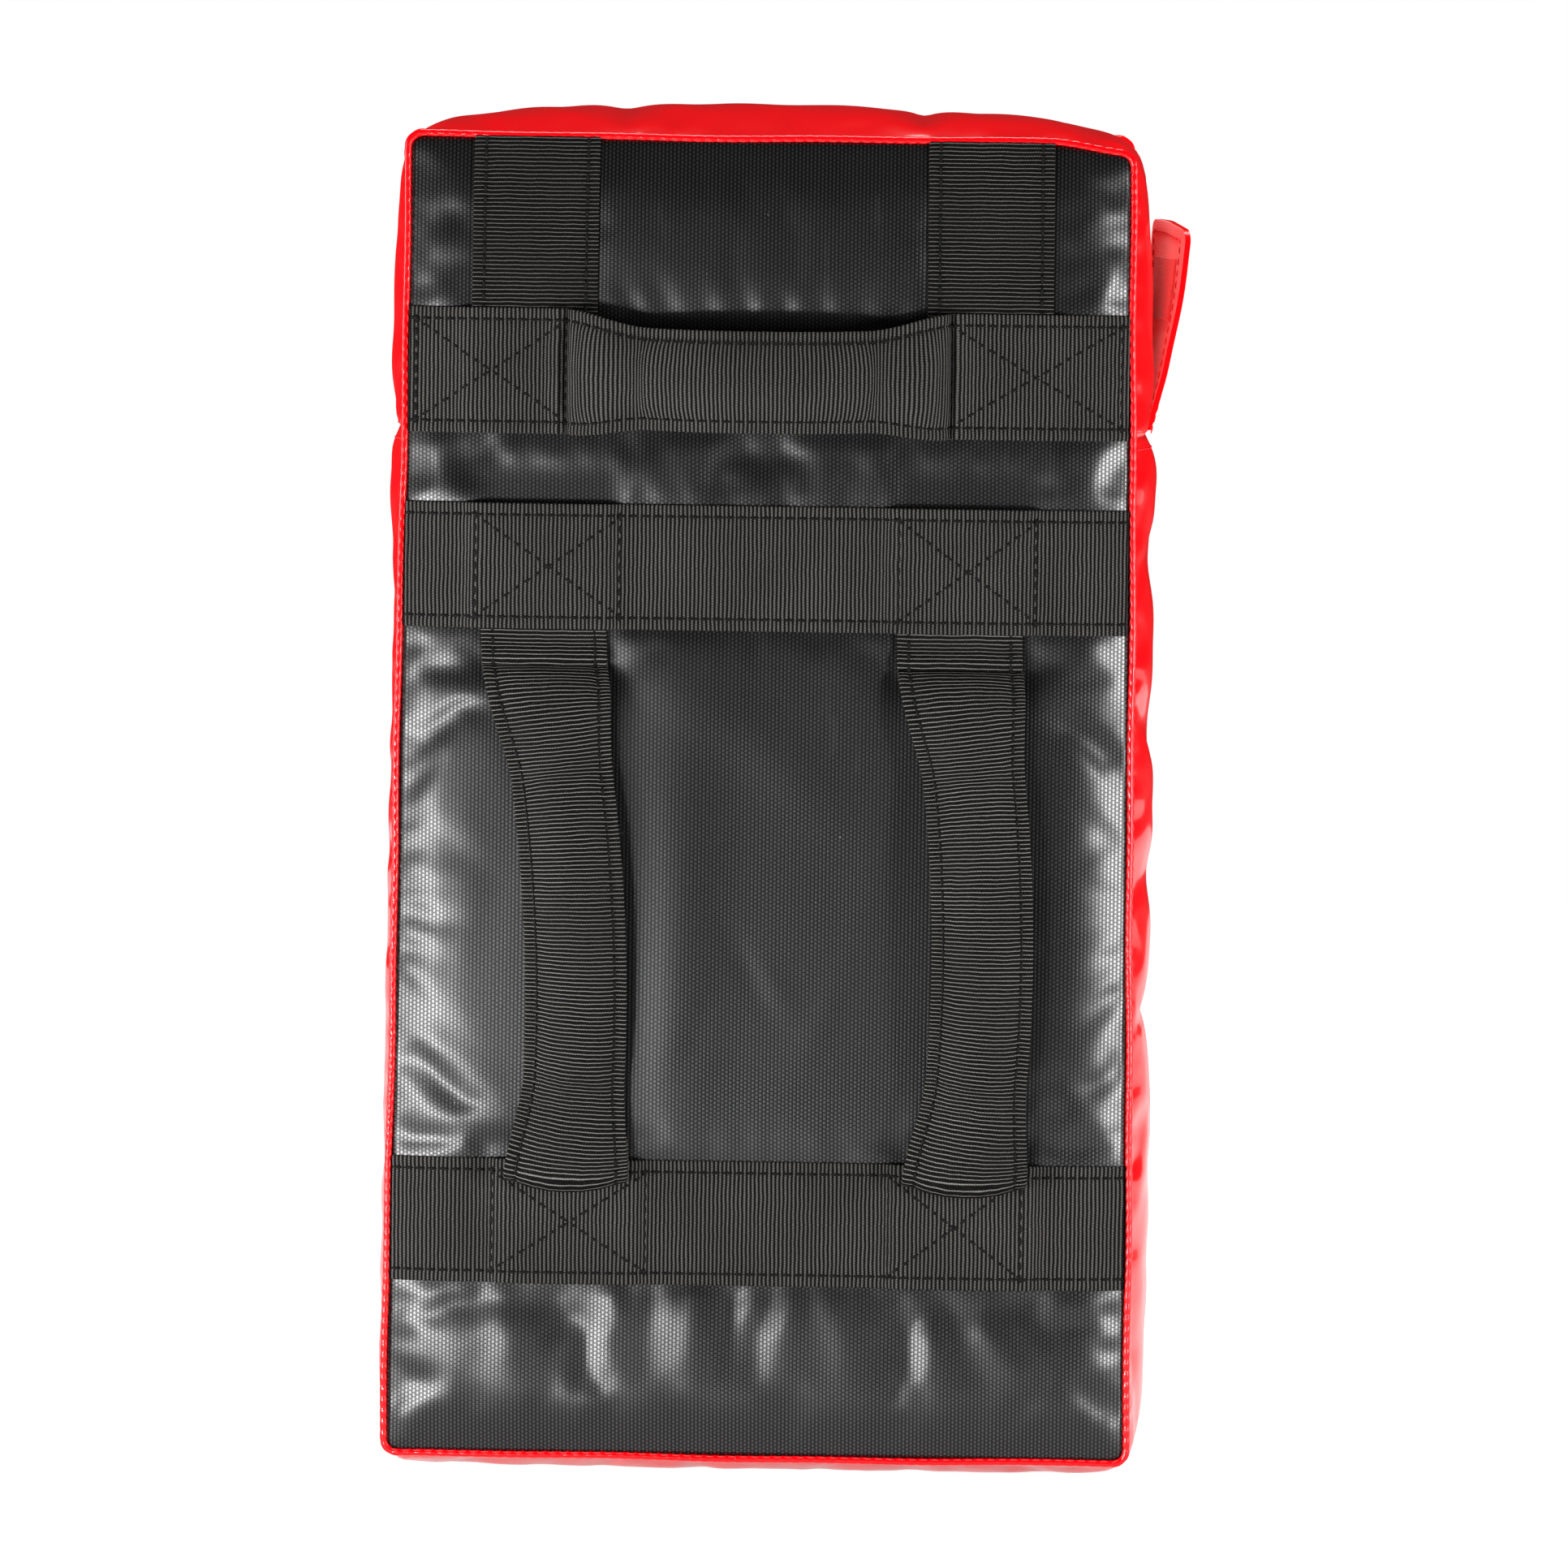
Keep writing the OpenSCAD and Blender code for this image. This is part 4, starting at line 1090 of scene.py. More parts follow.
gusset_height = slack_points[gusset_quads, 2].mean(axis=1)
upper_part = gusset_height > CROSS_SEAM_Z
back_panel = cut_piece("back_panel_vinyl", back_quads, black_vinyl, panel_relief)
front_panel = cut_piece("front_panel_vinyl", front_quads, red_vinyl)
top_gusset = cut_piece("top_gusset_vinyl", gusset_quads[upper_part], red_vinyl, gusset_relief)
bottom_gusset = cut_piece("bottom_gusset_vinyl", gusset_quads[~upper_part], red_vinyl, gusset_relief)
dress(back_panel, "shield", "black_vinyl", "back_panel")
dress(front_panel, "shield", "red_vinyl", "front_panel")
dress(top_gusset, "shield", "red_vinyl", "top_gusset")
dress(bottom_gusset, "shield", "red_vinyl", "bottom_gusset")
print("cover pieces:", len(back_panel.data.polygons), "squares in the back panel")

# %% [markdown]
# ## Seam rolls
# Where a panel meets the gusset, both are turned inwards and the gusset stands up as a narrow red roll. The
# lock stitches pull it in a little, so its edge is faintly scalloped. A tube swept round the seam does
# this, with a radius that follows the stitches.

# %% Seam rolls
ROLL_R = 1.5
ROLL_OUT = 0.6
BEAD_DEPTH, BEAD_SHARP = 0.17, 4
LONG_WANDER, LONG_WANDER_SPAN = 0.3, 37.0
SHORT_WANDER, SHORT_WANDER_SPAN = 0.2, 13.0
SEAM_STITCH = 4.5
ROLL_STEP = 0.75
ROLL_SIDES = 12


def seam_path():
    """Points and outward directions round the seam, every ROLL_STEP millimetres."""
    corners = np.array([(1, 1), (-1, 1), (-1, -1), (1, -1)]) * [HALF_W - CORNER_R, HALF_H - CORNER_R]
    arc_steps = int(CORNER_R * math.pi / 2 / ROLL_STEP)
    spots, ways = [], []
    for k, corner in enumerate(corners):
        turns = np.radians(90.0 * (k + np.arange(arc_steps) / arc_steps))
        arc = np.stack([np.cos(turns), np.sin(turns)], axis=-1)
        leg = corners[(k + 1) % 4] - corner
        steps = int(np.linalg.norm(leg) / ROLL_STEP)
        way = np.round([math.cos(math.radians(90 * (k + 1))), math.sin(math.radians(90 * (k + 1)))])
        straight = corner + leg * (np.arange(steps) / steps)[:, None] + way * CORNER_R
        spots += [corner + arc * CORNER_R, straight]
        ways += [arc, np.tile(way, (steps, 1))]
    return np.concatenate(spots), np.concatenate(ways)


def seam_points(seam_y, radius, turn):
    """A line along the seam roll, at an angle round it: 0 is outwards, 90 degrees is away from the panel."""
    spots, ways = seam_path()
    along = np.arange(len(spots)) * ROLL_STEP
    wander = LONG_WANDER * np.sin(along / LONG_WANDER_SPAN)
    wander = wander + SHORT_WANDER * np.sin(along / SHORT_WANDER_SPAN + seam_y)
    reach = ROLL_OUT + wander + radius * math.cos(turn)
    z = spots[:, 1] + ways[:, 1] * reach + MID_Z
    x = tapered(spots[:, 0], z) + ways[:, 0] * reach
    if seam_y < 0:
        z = z - corner_dip(x, z)
    y = seam_y + math.copysign(1, seam_y) * radius * math.sin(turn)
    return np.stack([x, np.broadcast_to(y, x.shape), z], axis=-1)


def seam_roll(name, seam_y, node):
    """A faintly scalloped tube round the whole seam."""
    along = np.arange(len(seam_path()[0])) * ROLL_STEP
    radius = ROLL_R - BEAD_DEPTH * np.cos(math.pi * along / SEAM_STITCH) ** BEAD_SHARP
    turns = np.arange(ROLL_SIDES) * 2 * math.pi / ROLL_SIDES
    rings = np.stack([seam_points(seam_y, radius, turn) for turn in turns], axis=1)
    index = np.arange(rings.shape[0] * ROLL_SIDES).reshape(rings.shape[0], ROLL_SIDES)
    onward = np.roll(index, -1, axis=0)
    quads = np.stack(
        [index, np.roll(index, -1, axis=1), np.roll(onward, -1, axis=1), onward], axis=-1)
    piece = make_piece(name, rings.reshape(-1, 3), quads.reshape(-1, 4).tolist(), red_vinyl)
    dress(piece, "shield", "red_vinyl", node)
    return piece


back_roll = seam_roll("back_seam_roll", BACK_Y, "back_welt")
seam_roll("front_seam_roll", FRONT_Y, "front_welt")
print("seam rolls:", len(back_roll.data.vertices), "points each")

# %% [markdown]
# ## Foam inside
# Three layers of foam fill the cover: a firm one behind the struck face, a thick soft one and a thin one
# behind the back panel. They never show, but the part has them, so each is a block with the cover's own
# outline drawn in a little from the vinyl.

# %% Foam inside
FOAM_INSET = 4.0
FOAM_GAP = 0.5
FOAM_BEVEL, FOAM_DRAW = 3.0, 0.98


def foam_block(node, slot):
    """A block with the cover's outline, as deep as its CAD solid."""
    low, high = box_mm(node)
    near = max(low[1], BACK_Y + FOAM_GAP)
    far = min(high[1], FRONT_Y - FOAM_GAP)
    rim = cover_points[gusset_index[0]]
    centre = np.array([0.0, 0.0, MID_Z])
    shrink = 1 - FOAM_INSET / np.array([HALF_W, 1.0, HALF_H])
    steps = ((near, FOAM_DRAW), (near + FOAM_BEVEL, 1.0), (far - FOAM_BEVEL, 1.0), (far, FOAM_DRAW))
    rings = []
    for y, draw in steps:
        ring = centre + (rim - centre) * shrink * [draw, 1, draw]
        ring[:, 1] = y
        rings.append(ring)
    count = len(rim)
    points = np.concatenate(rings + [np.array([[0, near, MID_Z], [0, far, MID_Z]])])
    index = np.arange(len(steps) * count).reshape(len(steps), count)
    faces = gusset_faces(index).tolist()
    for row, pole in ((index[0], index.size), (index[-1], index.size + 1)):
        faces += [(a, b, pole) for a, b in zip(row.tolist(), np.roll(row, -1).tolist())]
    piece = make_piece(node + "_block", points, faces, foam)
    dress(piece, "shield", slot, node)


FOAM_LAYERS = {"back_foam": "foam", "core_foam": "foam", "strike_foam": "firm_foam"}
for node, slot in FOAM_LAYERS.items():
    foam_block(node, slot)
print("foam layers:", len(FOAM_LAYERS))

# %% [markdown]
# ## A strap
# Every strap is a ribbon: a path, a direction across it, a half width and a crown at each step. The ribbon
# has two faces with rounded edges, and a shallow groove where the edge stitching pulls it down. It keeps
# its own rows, so that stitches can be laid on it later by their place along and across.

# %% A strap
EDGE_ROUND = 0.8
GROOVE_AT = 4.7
GROOVE_DEPTH = 0.45
GROOVE_HALF = 0.9
LIP_SHARE, CROWN_POWER = 0.83, 2.4
COLUMNS = np.array([1, 0.988, 0.965, 0.91, 0.86, 0.812, 0.765, 0.69, 0.52, 0.27])
COLUMNS = np.concatenate([-COLUMNS, [0.0], COLUMNS[::-1]])


class Ribbon:
    """A strap along a path; its outside is along the path's direction crossed with its side."""

    def __init__(self, path, side, half, crown=0.0, arch=0.0):
        self.path = np.asarray(path, dtype=float)
        count = len(self.path)
        side = np.broadcast_to(np.asarray(side, dtype=float), (count, 3))
        self.side = side / np.linalg.norm(side, axis=1, keepdims=True)
        ahead = np.gradient(self.path, axis=0, edge_order=2)
        ahead = ahead - self.side * np.sum(ahead * self.side, axis=1, keepdims=True)
        ahead /= np.linalg.norm(ahead, axis=1, keepdims=True)
        self.out = np.cross(ahead, self.side)
        self.half = np.broadcast_to(np.asarray(half, dtype=float), (count,))
        self.crown = np.broadcast_to(np.asarray(crown, dtype=float), (count,))
        self.arch = np.broadcast_to(np.asarray(arch, dtype=float), (count,))
        steps = np.linalg.norm(np.diff(self.path, axis=0), axis=1)
        self.along = np.concatenate([[0.0], np.cumsum(steps)])

    def middle(self, column):
        """The middle of the webbing at one place across, for every row."""
        rise = self.crown * (1 - np.minimum(abs(column) / LIP_SHARE, 1.0) ** CROWN_POWER)
        spot = self.path + self.side * (column * self.half)[:, None] + self.out * rise[:, None]
        spot[:, 2] -= self.arch * (1 - column * column)
        return spot

    def at(self, along, across, lift):
        """A point over the outer face: along and across in millimetres."""
        row = np.interp(along, self.along, np.arange(len(self.along)))
        low = min(int(row), len(self.along) - 2)
        share = row - low
        half = self.half[low] * (1 - share) + self.half[low + 1] * share
        spots = self.middle(across / half)
        spot = spots[low] * (1 - share) + spots[low + 1] * share
        out = self.out[low] * (1 - share) + self.out[low + 1] * share
        return spot + out * (WEBBING_T / 2 + lift)

    def piece(self, name, material, rib_start=0.0, rib_way=1.0):
        """The ribbon as an object, with a UV map in millimetres: along from rib_start, in from the edge."""
        rows = len(self.along)
        outer, inner, uvs = [], [], []
        for column in COLUMNS:
            edge = np.minimum((1 - abs(column)) * self.half / EDGE_ROUND, 1.0)
            thick = WEBBING_T / 2 * np.sqrt(1 - (1 - edge) ** 2)
            from_edge = (1 - abs(column)) * self.half
            groove = GROOVE_DEPTH * np.exp(-((from_edge - GROOVE_AT) / GROOVE_HALF) ** 2)
            spot = self.middle(column)
            outer.append(spot + self.out * (thick - groove)[:, None])
            inner.append(spot - self.out * thick[:, None])
            uvs.append(np.stack([rib_way * (self.along - rib_start), from_edge], axis=-1))
        ring = np.stack(outer + inner[-2:0:-1], axis=1)
        ring_uv = np.stack(uvs + uvs[-2:0:-1], axis=1)
        around = ring.shape[1]
        index = np.arange(rows * around).reshape(rows, around)
        turned = np.roll(index, -1, axis=1)
        quads = np.stack([index[:-1], turned[:-1], turned[1:], index[1:]], axis=-1).reshape(-1, 4)
        faces = quads.tolist()
        last = len(COLUMNS) - 1
        for row in (index[0].tolist(), index[-1].tolist()):
            faces.append((row[0], row[1], row[-1]))
            for k in range(1, last - 1):
                faces.append((row[k], row[k + 1], row[around - k - 1], row[around - k]))
            faces.append((row[last - 1], row[last], row[last + 1]))
        return make_piece(name, ring.reshape(-1, 3), faces, material, ring_uv.reshape(-1, 2))


print("ribbon columns:", len(COLUMNS))

# %% [markdown]
# ## Bands across the back
# Two bands run from seam to seam, and a third, above them, has the cross handle in its middle. Each lies on
# the panel and climbs over whatever is sewn under it: the tabs of the upright handles or the short top
# strips. The panel is a known surface, so the bands are laid on its formula and not on the mesh.

# %% Bands across the back
SKIN_GAP = 0.3
STEP = 2.4
CLIMB = 7.0
BAND_END = HALF_W - 1.8
TAB_LAYERS = 2 * WEBBING_T
SLOPE_STEP = 0.5


def skin(x, z, off):
    """A point off the back panel by a distance, at a place on it."""
    x, z, off = np.broadcast_arrays(np.asarray(x, float), np.asarray(z, float), np.asarray(off, float))
    d = SLOPE_STEP
    slope_x = -BACK_CROWN * (crown(x + d, z) - crown(x - d, z)) / (2 * d)
    slope_z = -BACK_CROWN * (crown(x, z + d) - crown(x, z - d)) / (2 * d)
    out = np.stack([slope_x, -np.ones_like(x), slope_z], axis=-1)
    out /= np.linalg.norm(out, axis=-1, keepdims=True)
    ground = np.stack([tapered(x, z), BACK_Y - BACK_CROWN * crown(x, z), z], axis=-1)
    return ground + out * off[..., None]


def climb_over(x, humps):
    """How high a strap is lifted at x by what lies under it: (middle, half width, height)."""
    lift = np.zeros_like(x)
    for middle, half, height in humps:
        lift = np.maximum(lift, height * smooth(1 - (np.abs(x - middle) - half) / CLIMB))
    return lift


def handle_x(name, z):
    """The middle of an upright handle's chord at a height."""
    joint = next(j for j in frame["joints"] if j["name"] == name + "_swing")
    spot = np.array(joint["pos_m"]) / MM
    way = np.array(joint["axis"])
    return spot[0] + way[0] / way[2] * (z - spot[2])


def tab_humps(z):
    """The humps that the two upright handles' tabs make under a band."""
    return [(handle_x(name, z), HALF_BAND, TAB_LAYERS + SKIN_GAP) for name in HANDLES]


def cross_band(name, z, node):
    """A band from seam to seam over the handles' tabs."""
    xs = np.linspace(-BAND_END, BAND_END, int(2 * BAND_END / STEP))
    lift = climb_over(xs, tab_humps(z)) + SKIN_GAP + WEBBING_T / 2
    ribbon = Ribbon(skin(xs, z, lift), (0, 0, 1), HALF_BAND)
    piece = ribbon.piece(name, webbing)
    dress(piece, "shield", "black_webbing", node)
    return ribbon


middle_band = cross_band("middle_band", MIDDLE_Z, "middle_strap")
lower_band = cross_band("lower_band", LOWER_Z, "lower_strap")
print("bands:", round(middle_band.along[-1], 1), round(lower_band.along[-1], 1), "mm long")

# %% [markdown]
# ## Short strips at the top
# Two short strips run down from the top seam and end under the upper band. They carry the pull of the
# cross handle up to the seam. Each is a plain ribbon on the panel.

# %% Short strips at the top
STRIP_END_Z = box_mm("left_top_strap")[0][2]
STRIP_TUCK = 0.6


def top_strip(name, x, node):
    """A strip from the top seam down to its end under the upper band."""
    zs = np.linspace(TOP_Z - STRIP_TUCK, STRIP_END_Z, int((TOP_Z - STRIP_END_Z) / STEP))
    ribbon = Ribbon(skin(x, zs, SKIN_GAP + WEBBING_T / 2), (1, 0, 0), HALF_BAND)
    piece = ribbon.piece(name, strip_webbing)
    dress(piece, "shield", "black_webbing", node)
    return ribbon


left_strip = top_strip("left_top_strip", LEFT_STRIP_X, "left_top_strap")
right_strip = top_strip("right_top_strip", RIGHT_STRIP_X, "right_top_strap")
print("strips:", round(left_strip.along[-1], 1), "mm long")

# %% [markdown]
# ## Padded handles
# A handle is two layers of webbing sewn together along both edges, with a strip of foam between that
# crowns the outer layer. The ends stay with the cover and the grip swings, so the real strap bends just
# outside its stitching. Each handle is built as two halves that meet in the middle of the grip.

# %% Padded handles: shapes shared by all three
HANDLE_RISE = 24.0
END_CROWN, GRIP_CROWN = 3.0, 7.5
GRIP_HALF_W = 20.2
GRIP_FADE = 0.22
ARCH_FLAT, ARCH_ROUND = 2.4, 0.8
LAYER = 0.85
CREASE = (
    (-9.0, 0.0), (-6.0, 1.2), (-3.5, 2.2), (-2.3, 2.0), (-1.5, 0.9), (-0.7, 0.1), (0.1, 0.3), (0.8, 1.3),
    (1.6, 2.8), (2.8, 4.4), (4.4, 5.6), (6.2, 6.5),
)
CREASE_START = -CREASE[0][0]
CUT_ROUNDS, CUT_SHARE = 2, 0.25
SETTLE = 26.0
CROWN_START = 8.0


def arch_share(u):
    """The height of a handle's arch over its chord, 0 at both ends and 1 in the middle."""
    return np.clip(1 - np.abs(2 * u - 1) ** ARCH_FLAT, 0, None) ** ARCH_ROUND


def grip_share(u):
    """How far the foam fills the handle: 0 at its ends, 1 along the grip."""
    return smooth(np.minimum(u, 1 - u) / GRIP_FADE)


def handle_half_w(u):
    """The strap draws in where the foam crowns it."""
    return HALF_BAND + (GRIP_HALF_W - HALF_BAND) * grip_share(u)


def handle_crown(u):
    """The crown of the outer layer over the lining."""
    return END_CROWN + (GRIP_CROWN - END_CROWN) * grip_share(u)


def crease_turn():
    """The crease where a handle leaves its tab: the way past it and the height above the tab, rounded off."""
    points = np.array(CREASE)
    for _ in range(CUT_ROUNDS):
        near = (1 - CUT_SHARE) * points[:-1] + CUT_SHARE * points[1:]
        far = CUT_SHARE * points[:-1] + (1 - CUT_SHARE) * points[1:]
        cut = np.stack([near, far], axis=1).reshape(-1, 2)
        points = np.concatenate([points[:1], cut[1:-1], points[-1:]])
    return points


def settle(past):
    """How much of the crease's swelling is left, some way past it."""
    return 1 - smooth(past / SETTLE)


def two_layers(name, path, side, half, crown_mm, arch, nodes, middle_row):
    """The outer webbing and the lining of one half of a handle, ribs counted from its middle row."""
    base = Ribbon(path, side, half)
    outer = Ribbon(base.path + base.out * LAYER, side, half, crown_mm, arch)
    lining = Ribbon(base.path - base.out * LAYER, side, half, 0.0, arch)
    for part, ribbon, node in (("webbing", outer, nodes[0]), ("lining", lining, nodes[1])):
        piece = ribbon.piece(name + "_" + part, grip_webbing, ribbon.along[middle_row])
        dress(piece, None, "black_webbing", *node)
        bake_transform(piece)
    return outer


print("handle shapes ready")

# %% [markdown]
# ## Upright handles
# Above, each handle comes out from under the middle band as a flat tab, creases and lifts off. Below, it
# comes down in front of the lower band, turns up behind itself, turns again and goes under the band. That
# double turn is what shows as the round lower lip in the photograph.

# %% Upright handles
HANDLE_BOW = 8.5
BOW_FADE = 0.12
TAB_SHOW = 15.0
FOLD_DROP = 10.5
CREASE_Z = MIDDLE_Z - HALF_BAND - TAB_SHOW
FOLD_Z = LOWER_Z + HALF_BAND - FOLD_DROP
SPAN = CREASE_Z - FOLD_Z
HANDLE_MID_Z = (CREASE_Z + FOLD_Z) / 2
TAB_OFF = SKIN_GAP + WEBBING_T
TAB_TUCK = 2.0
TAB_TOP_Z = box_mm("left_handle_upper_end")[1][2] - TAB_TUCK
TAB_BOTTOM_Z = box_mm("left_handle_lower_end")[0][2] + TAB_TUCK
FOLD_R, TURN_R = 3.2, 2.7
LIP_ARCH, LIP_TOP, LIP_FADE = 2.6, 50.0, 40.0
FOLD_UP, TURN_UP = 4.8, 18.0
FOLD_MID_Z, TURN_MID_Z = FOLD_Z + FOLD_UP + LIP_ARCH, FOLD_Z + TURN_UP
BACK_OFF = TAB_OFF + 2 * TURN_R
FOLD_OFF = BACK_OFF + 2 * FOLD_R
UPPER_BLEND, LOWER_BLEND_START, LOWER_BLEND_END = 38.0, 22.0, 48.0
BLEND_Z = {
    "upper": (CREASE_Z, CREASE_Z - UPPER_BLEND),
    "lower": (FOLD_Z + LOWER_BLEND_START, FOLD_Z + LOWER_BLEND_END),
}


def chord_place(name, z, off):
    """A point of an upright handle: bowed sideways between its ends, off the panel by a distance."""
    u = np.clip((z - FOLD_Z) / SPAN, 0, 1)
    x = handle_x(name, z) + HANDLE_BOW * 4 * u * (1 - u)
    return skin(x, z, off)


def across_way(z):
    """The way across an upright handle at a height: square to its bow, and level at its ends."""
    u = np.clip((z - FOLD_Z) / SPAN, 0, 1)
    slope = HANDLE_BOW * 4 * (1 - 2 * u) / SPAN * smooth(np.minimum(u, 1 - u) / BOW_FADE)
    return np.stack([np.ones_like(z), np.zeros_like(z), -slope], axis=-1)


def blend_ends(x, part):
    """Where half of an upright handle begins to follow the grip, and where it follows it fully."""
    return [(x * MM, 0, z * MM) for z in BLEND_Z[part]]


def lip_off(u):
    """How far the joined edges of the two layers stand off the panel."""
    return TAB_OFF + HANDLE_RISE * arch_share(u) - handle_crown(u) * grip_share(u)


print("upright handles: chord", round(SPAN, 1), "mm")

# %% [markdown]
# ## Halves of the upright handles
# Each half is a chain of short runs joined end to end. The upper one is the tab, the crease and the grip. The
# lower one is the grip, the drop to the lip, the fold, the rise behind it, the second turn and the tail.

# %% Halves of the upright handles
MEET_SHARE, DROP_POWER = 0.16, 1.3
TAB_ROWS, FREE_ROWS = 24, 64
GRIP_ROWS, DROP_ROWS, TURN_ROWS, RISE_ROWS, TAIL_ROWS = 48, 12, 9, 6, 20
OFF_MARGIN = 0.1


def upper_half(name):
    """From under the middle band down to the middle of the grip."""
    turn = crease_turn()
    tab_z = np.linspace(TAB_TOP_Z, CREASE_Z + CREASE_START, TAB_ROWS)[:-1]
    turn_z = CREASE_Z - turn[:, 0]
    free_z = np.linspace(turn_z[-1], HANDLE_MID_Z, FREE_ROWS)[1:]
    free_off = lip_off((free_z - FOLD_Z) / SPAN)
    swelling = TAB_OFF + turn[-1, 1] - lip_off((turn_z[-1] - FOLD_Z) / SPAN)
    free_off = free_off + swelling * settle(turn_z[-1] - free_z)
    zs = np.concatenate([tab_z, turn_z, free_z])
    off = np.concatenate([np.full(len(tab_z), TAB_OFF), TAB_OFF + turn[:, 1], free_off])
    u = np.minimum((zs - FOLD_Z) / SPAN, 1)
    path = chord_place(name, zs, off)
    crown_mm = handle_crown(u) * smooth((CREASE_Z - zs) / CROWN_START)
    blend = blend_ends(path[0, 0], "upper")
    nodes = ((name + "_webbing", name + "_upper_end"), (name + "_lining",))
    return two_layers(
        name + "_upper", path, across_way(zs), handle_half_w(u), crown_mm, 0.0, nodes, -1)


def lower_half(name):
    """From the middle of the grip down, round the double turn and under the lower band."""
    meet_z = FOLD_Z + MEET_SHARE * SPAN
    grip_z = np.linspace(HANDLE_MID_Z, meet_z, GRIP_ROWS)
    grip_off = lip_off((grip_z - FOLD_Z) / SPAN)
    drop = np.linspace(0, 1, DROP_ROWS)[1:]
    down_z = meet_z + (FOLD_MID_Z - meet_z) * drop
    down_off = FOLD_OFF + (grip_off[-1] - FOLD_OFF) * (1 - drop) ** DROP_POWER
    turns = np.linspace(0, math.pi, TURN_ROWS)[1:]
    fold_z = FOLD_MID_Z - FOLD_R * np.sin(turns)
    fold_off = FOLD_OFF - FOLD_R + FOLD_R * np.cos(turns)
    rise_z = np.linspace(FOLD_MID_Z, TURN_MID_Z, RISE_ROWS)[1:]
    rise_off = np.full(len(rise_z), BACK_OFF)
    turn_z = TURN_MID_Z + TURN_R * np.sin(turns)
    turn_off = TAB_OFF + TURN_R + TURN_R * np.cos(turns)
    tail_z = np.linspace(TURN_MID_Z, TAB_BOTTOM_Z, TAIL_ROWS)[1:]
    tail_off = np.full(len(tail_z), TAB_OFF)
    zs = np.concatenate([grip_z, down_z, fold_z, rise_z, turn_z, tail_z])
    off = np.concatenate([grip_off, down_off, fold_off, rise_off, turn_off, tail_off])
    path = chord_place(name, zs, off)
    u = np.clip((zs - FOLD_Z) / SPAN, 0, 1)
    before, after = len(grip_z) + len(down_z), len(rise_z) + len(turn_z) + len(tail_z)
    fade = np.concatenate([np.ones(before), np.linspace(1, 0, len(fold_z)), np.zeros(after)])
    crown_mm = handle_crown(u) * fade
    in_front = off > BACK_OFF - OFF_MARGIN
    arch = np.where(in_front, LIP_ARCH * smooth((FOLD_Z + LIP_TOP - zs) / LIP_FADE), 0.0)
    blend = blend_ends(path[0, 0], "lower")
    nodes = ((name + "_webbing", name + "_lower_end"), (name + "_lining",))
    return two_layers(
        name + "_lower", path, across_way(zs), handle_half_w(u), crown_mm, arch, nodes, 0)


handle_ribbons = {}
for handle in HANDLES:
    handle_ribbons[handle + "_upper"] = upper_half(handle)
    handle_ribbons[handle + "_lower"] = lower_half(handle)
print("halves:", sorted(handle_ribbons))

# %% [markdown]
# ## Cross handle
# The middle of the upper band is the third handle. Its sewn ends run on to the side seams over the short
# strips, so each half is one ribbon from the seam to the middle of the grip.

# %% Cross handle
CROSS_SPAN = 154.0
CROSS_MID = middle_mm("top_handle_webbing")[0]
CROSS_LEFT = CROSS_MID - CROSS_SPAN / 2
CROSS_RIGHT = CROSS_MID + CROSS_SPAN / 2
CROSS_SAG = 3.0
CROSS_BLEND = 31.0
LINING_START = 2.5
GRIP_FINER = 1.6
CROSS_ROWS = int(CROSS_SPAN / 2 / STEP * GRIP_FINER)


def cross_half(name, side, strip_x, lift_x, node):
    """One half of the upper band: flat over the strip, then a crease, then lifting off into the grip."""
    turn = crease_turn()
    flat_x = np.arange(BAND_END, side * lift_x + CREASE_START, -STEP) * side
    turn_x = lift_x - side * turn[:, 0]
    free_x = np.linspace(turn_x[-1], CROSS_MID, CROSS_ROWS)[1:]
    humps = [(strip_x, HALF_BAND, WEBBING_T + SKIN_GAP)]
    flat_off = climb_over(flat_x, humps) + SKIN_GAP + WEBBING_T / 2
    free_off = lip_off((free_x - CROSS_LEFT) / CROSS_SPAN)
    swelling = flat_off[-1] + turn[-1, 1] - lip_off((turn_x[-1] - CROSS_LEFT) / CROSS_SPAN)
    free_off = free_off + swelling * settle(np.abs(free_x - turn_x[-1]))
    xs = np.concatenate([flat_x, turn_x, free_x])
    off = np.concatenate([flat_off, flat_off[-1] + turn[:, 1], free_off])
    u = np.clip((xs - CROSS_LEFT) / CROSS_SPAN, 0, 1)
    path = skin(xs, UPPER_Z - CROSS_SAG * arch_share(u), off)
    past = side * (lift_x - xs)
    crown_mm = handle_crown(u) * smooth(past / CROWN_START)
    start, end = (lift_x * MM, 0, 0), ((lift_x - side * CROSS_BLEND) * MM, 0, 0)
    outer = Ribbon(path, (0, 0, -side), handle_half_w(u), crown_mm)
    free = past > LINING_START
    under = Ribbon(path[free] - outer.out[free] * 2 * LAYER, (0, 0, -side), handle_half_w(u)[free])
    layers = (
        (outer.piece(name, webbing, outer.along[-1], -side), (node, "top_handle_webbing")),
        (under.piece(name + "_lining", webbing, under.along[-1], -side), ("top_handle_lining",)),
    )
    for piece, nodes in layers:
        dress(piece, None, "black_webbing", *nodes)
        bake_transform(piece)
    return outer


upper_left = cross_half("upper_band_left", -1, LEFT_STRIP_X, CROSS_LEFT, "upper_strap_left")
upper_right = cross_half("upper_band_right", 1, RIGHT_STRIP_X, CROSS_RIGHT, "upper_strap_right")
print("cross handle: chord", round(CROSS_SPAN, 1), "mm")

# %% [markdown]
# ## Handle foam
# The strip of foam in each handle fills the space under the crown. It never shows, but it moves with its
# handle, so it is a short lens of foam along the grip.

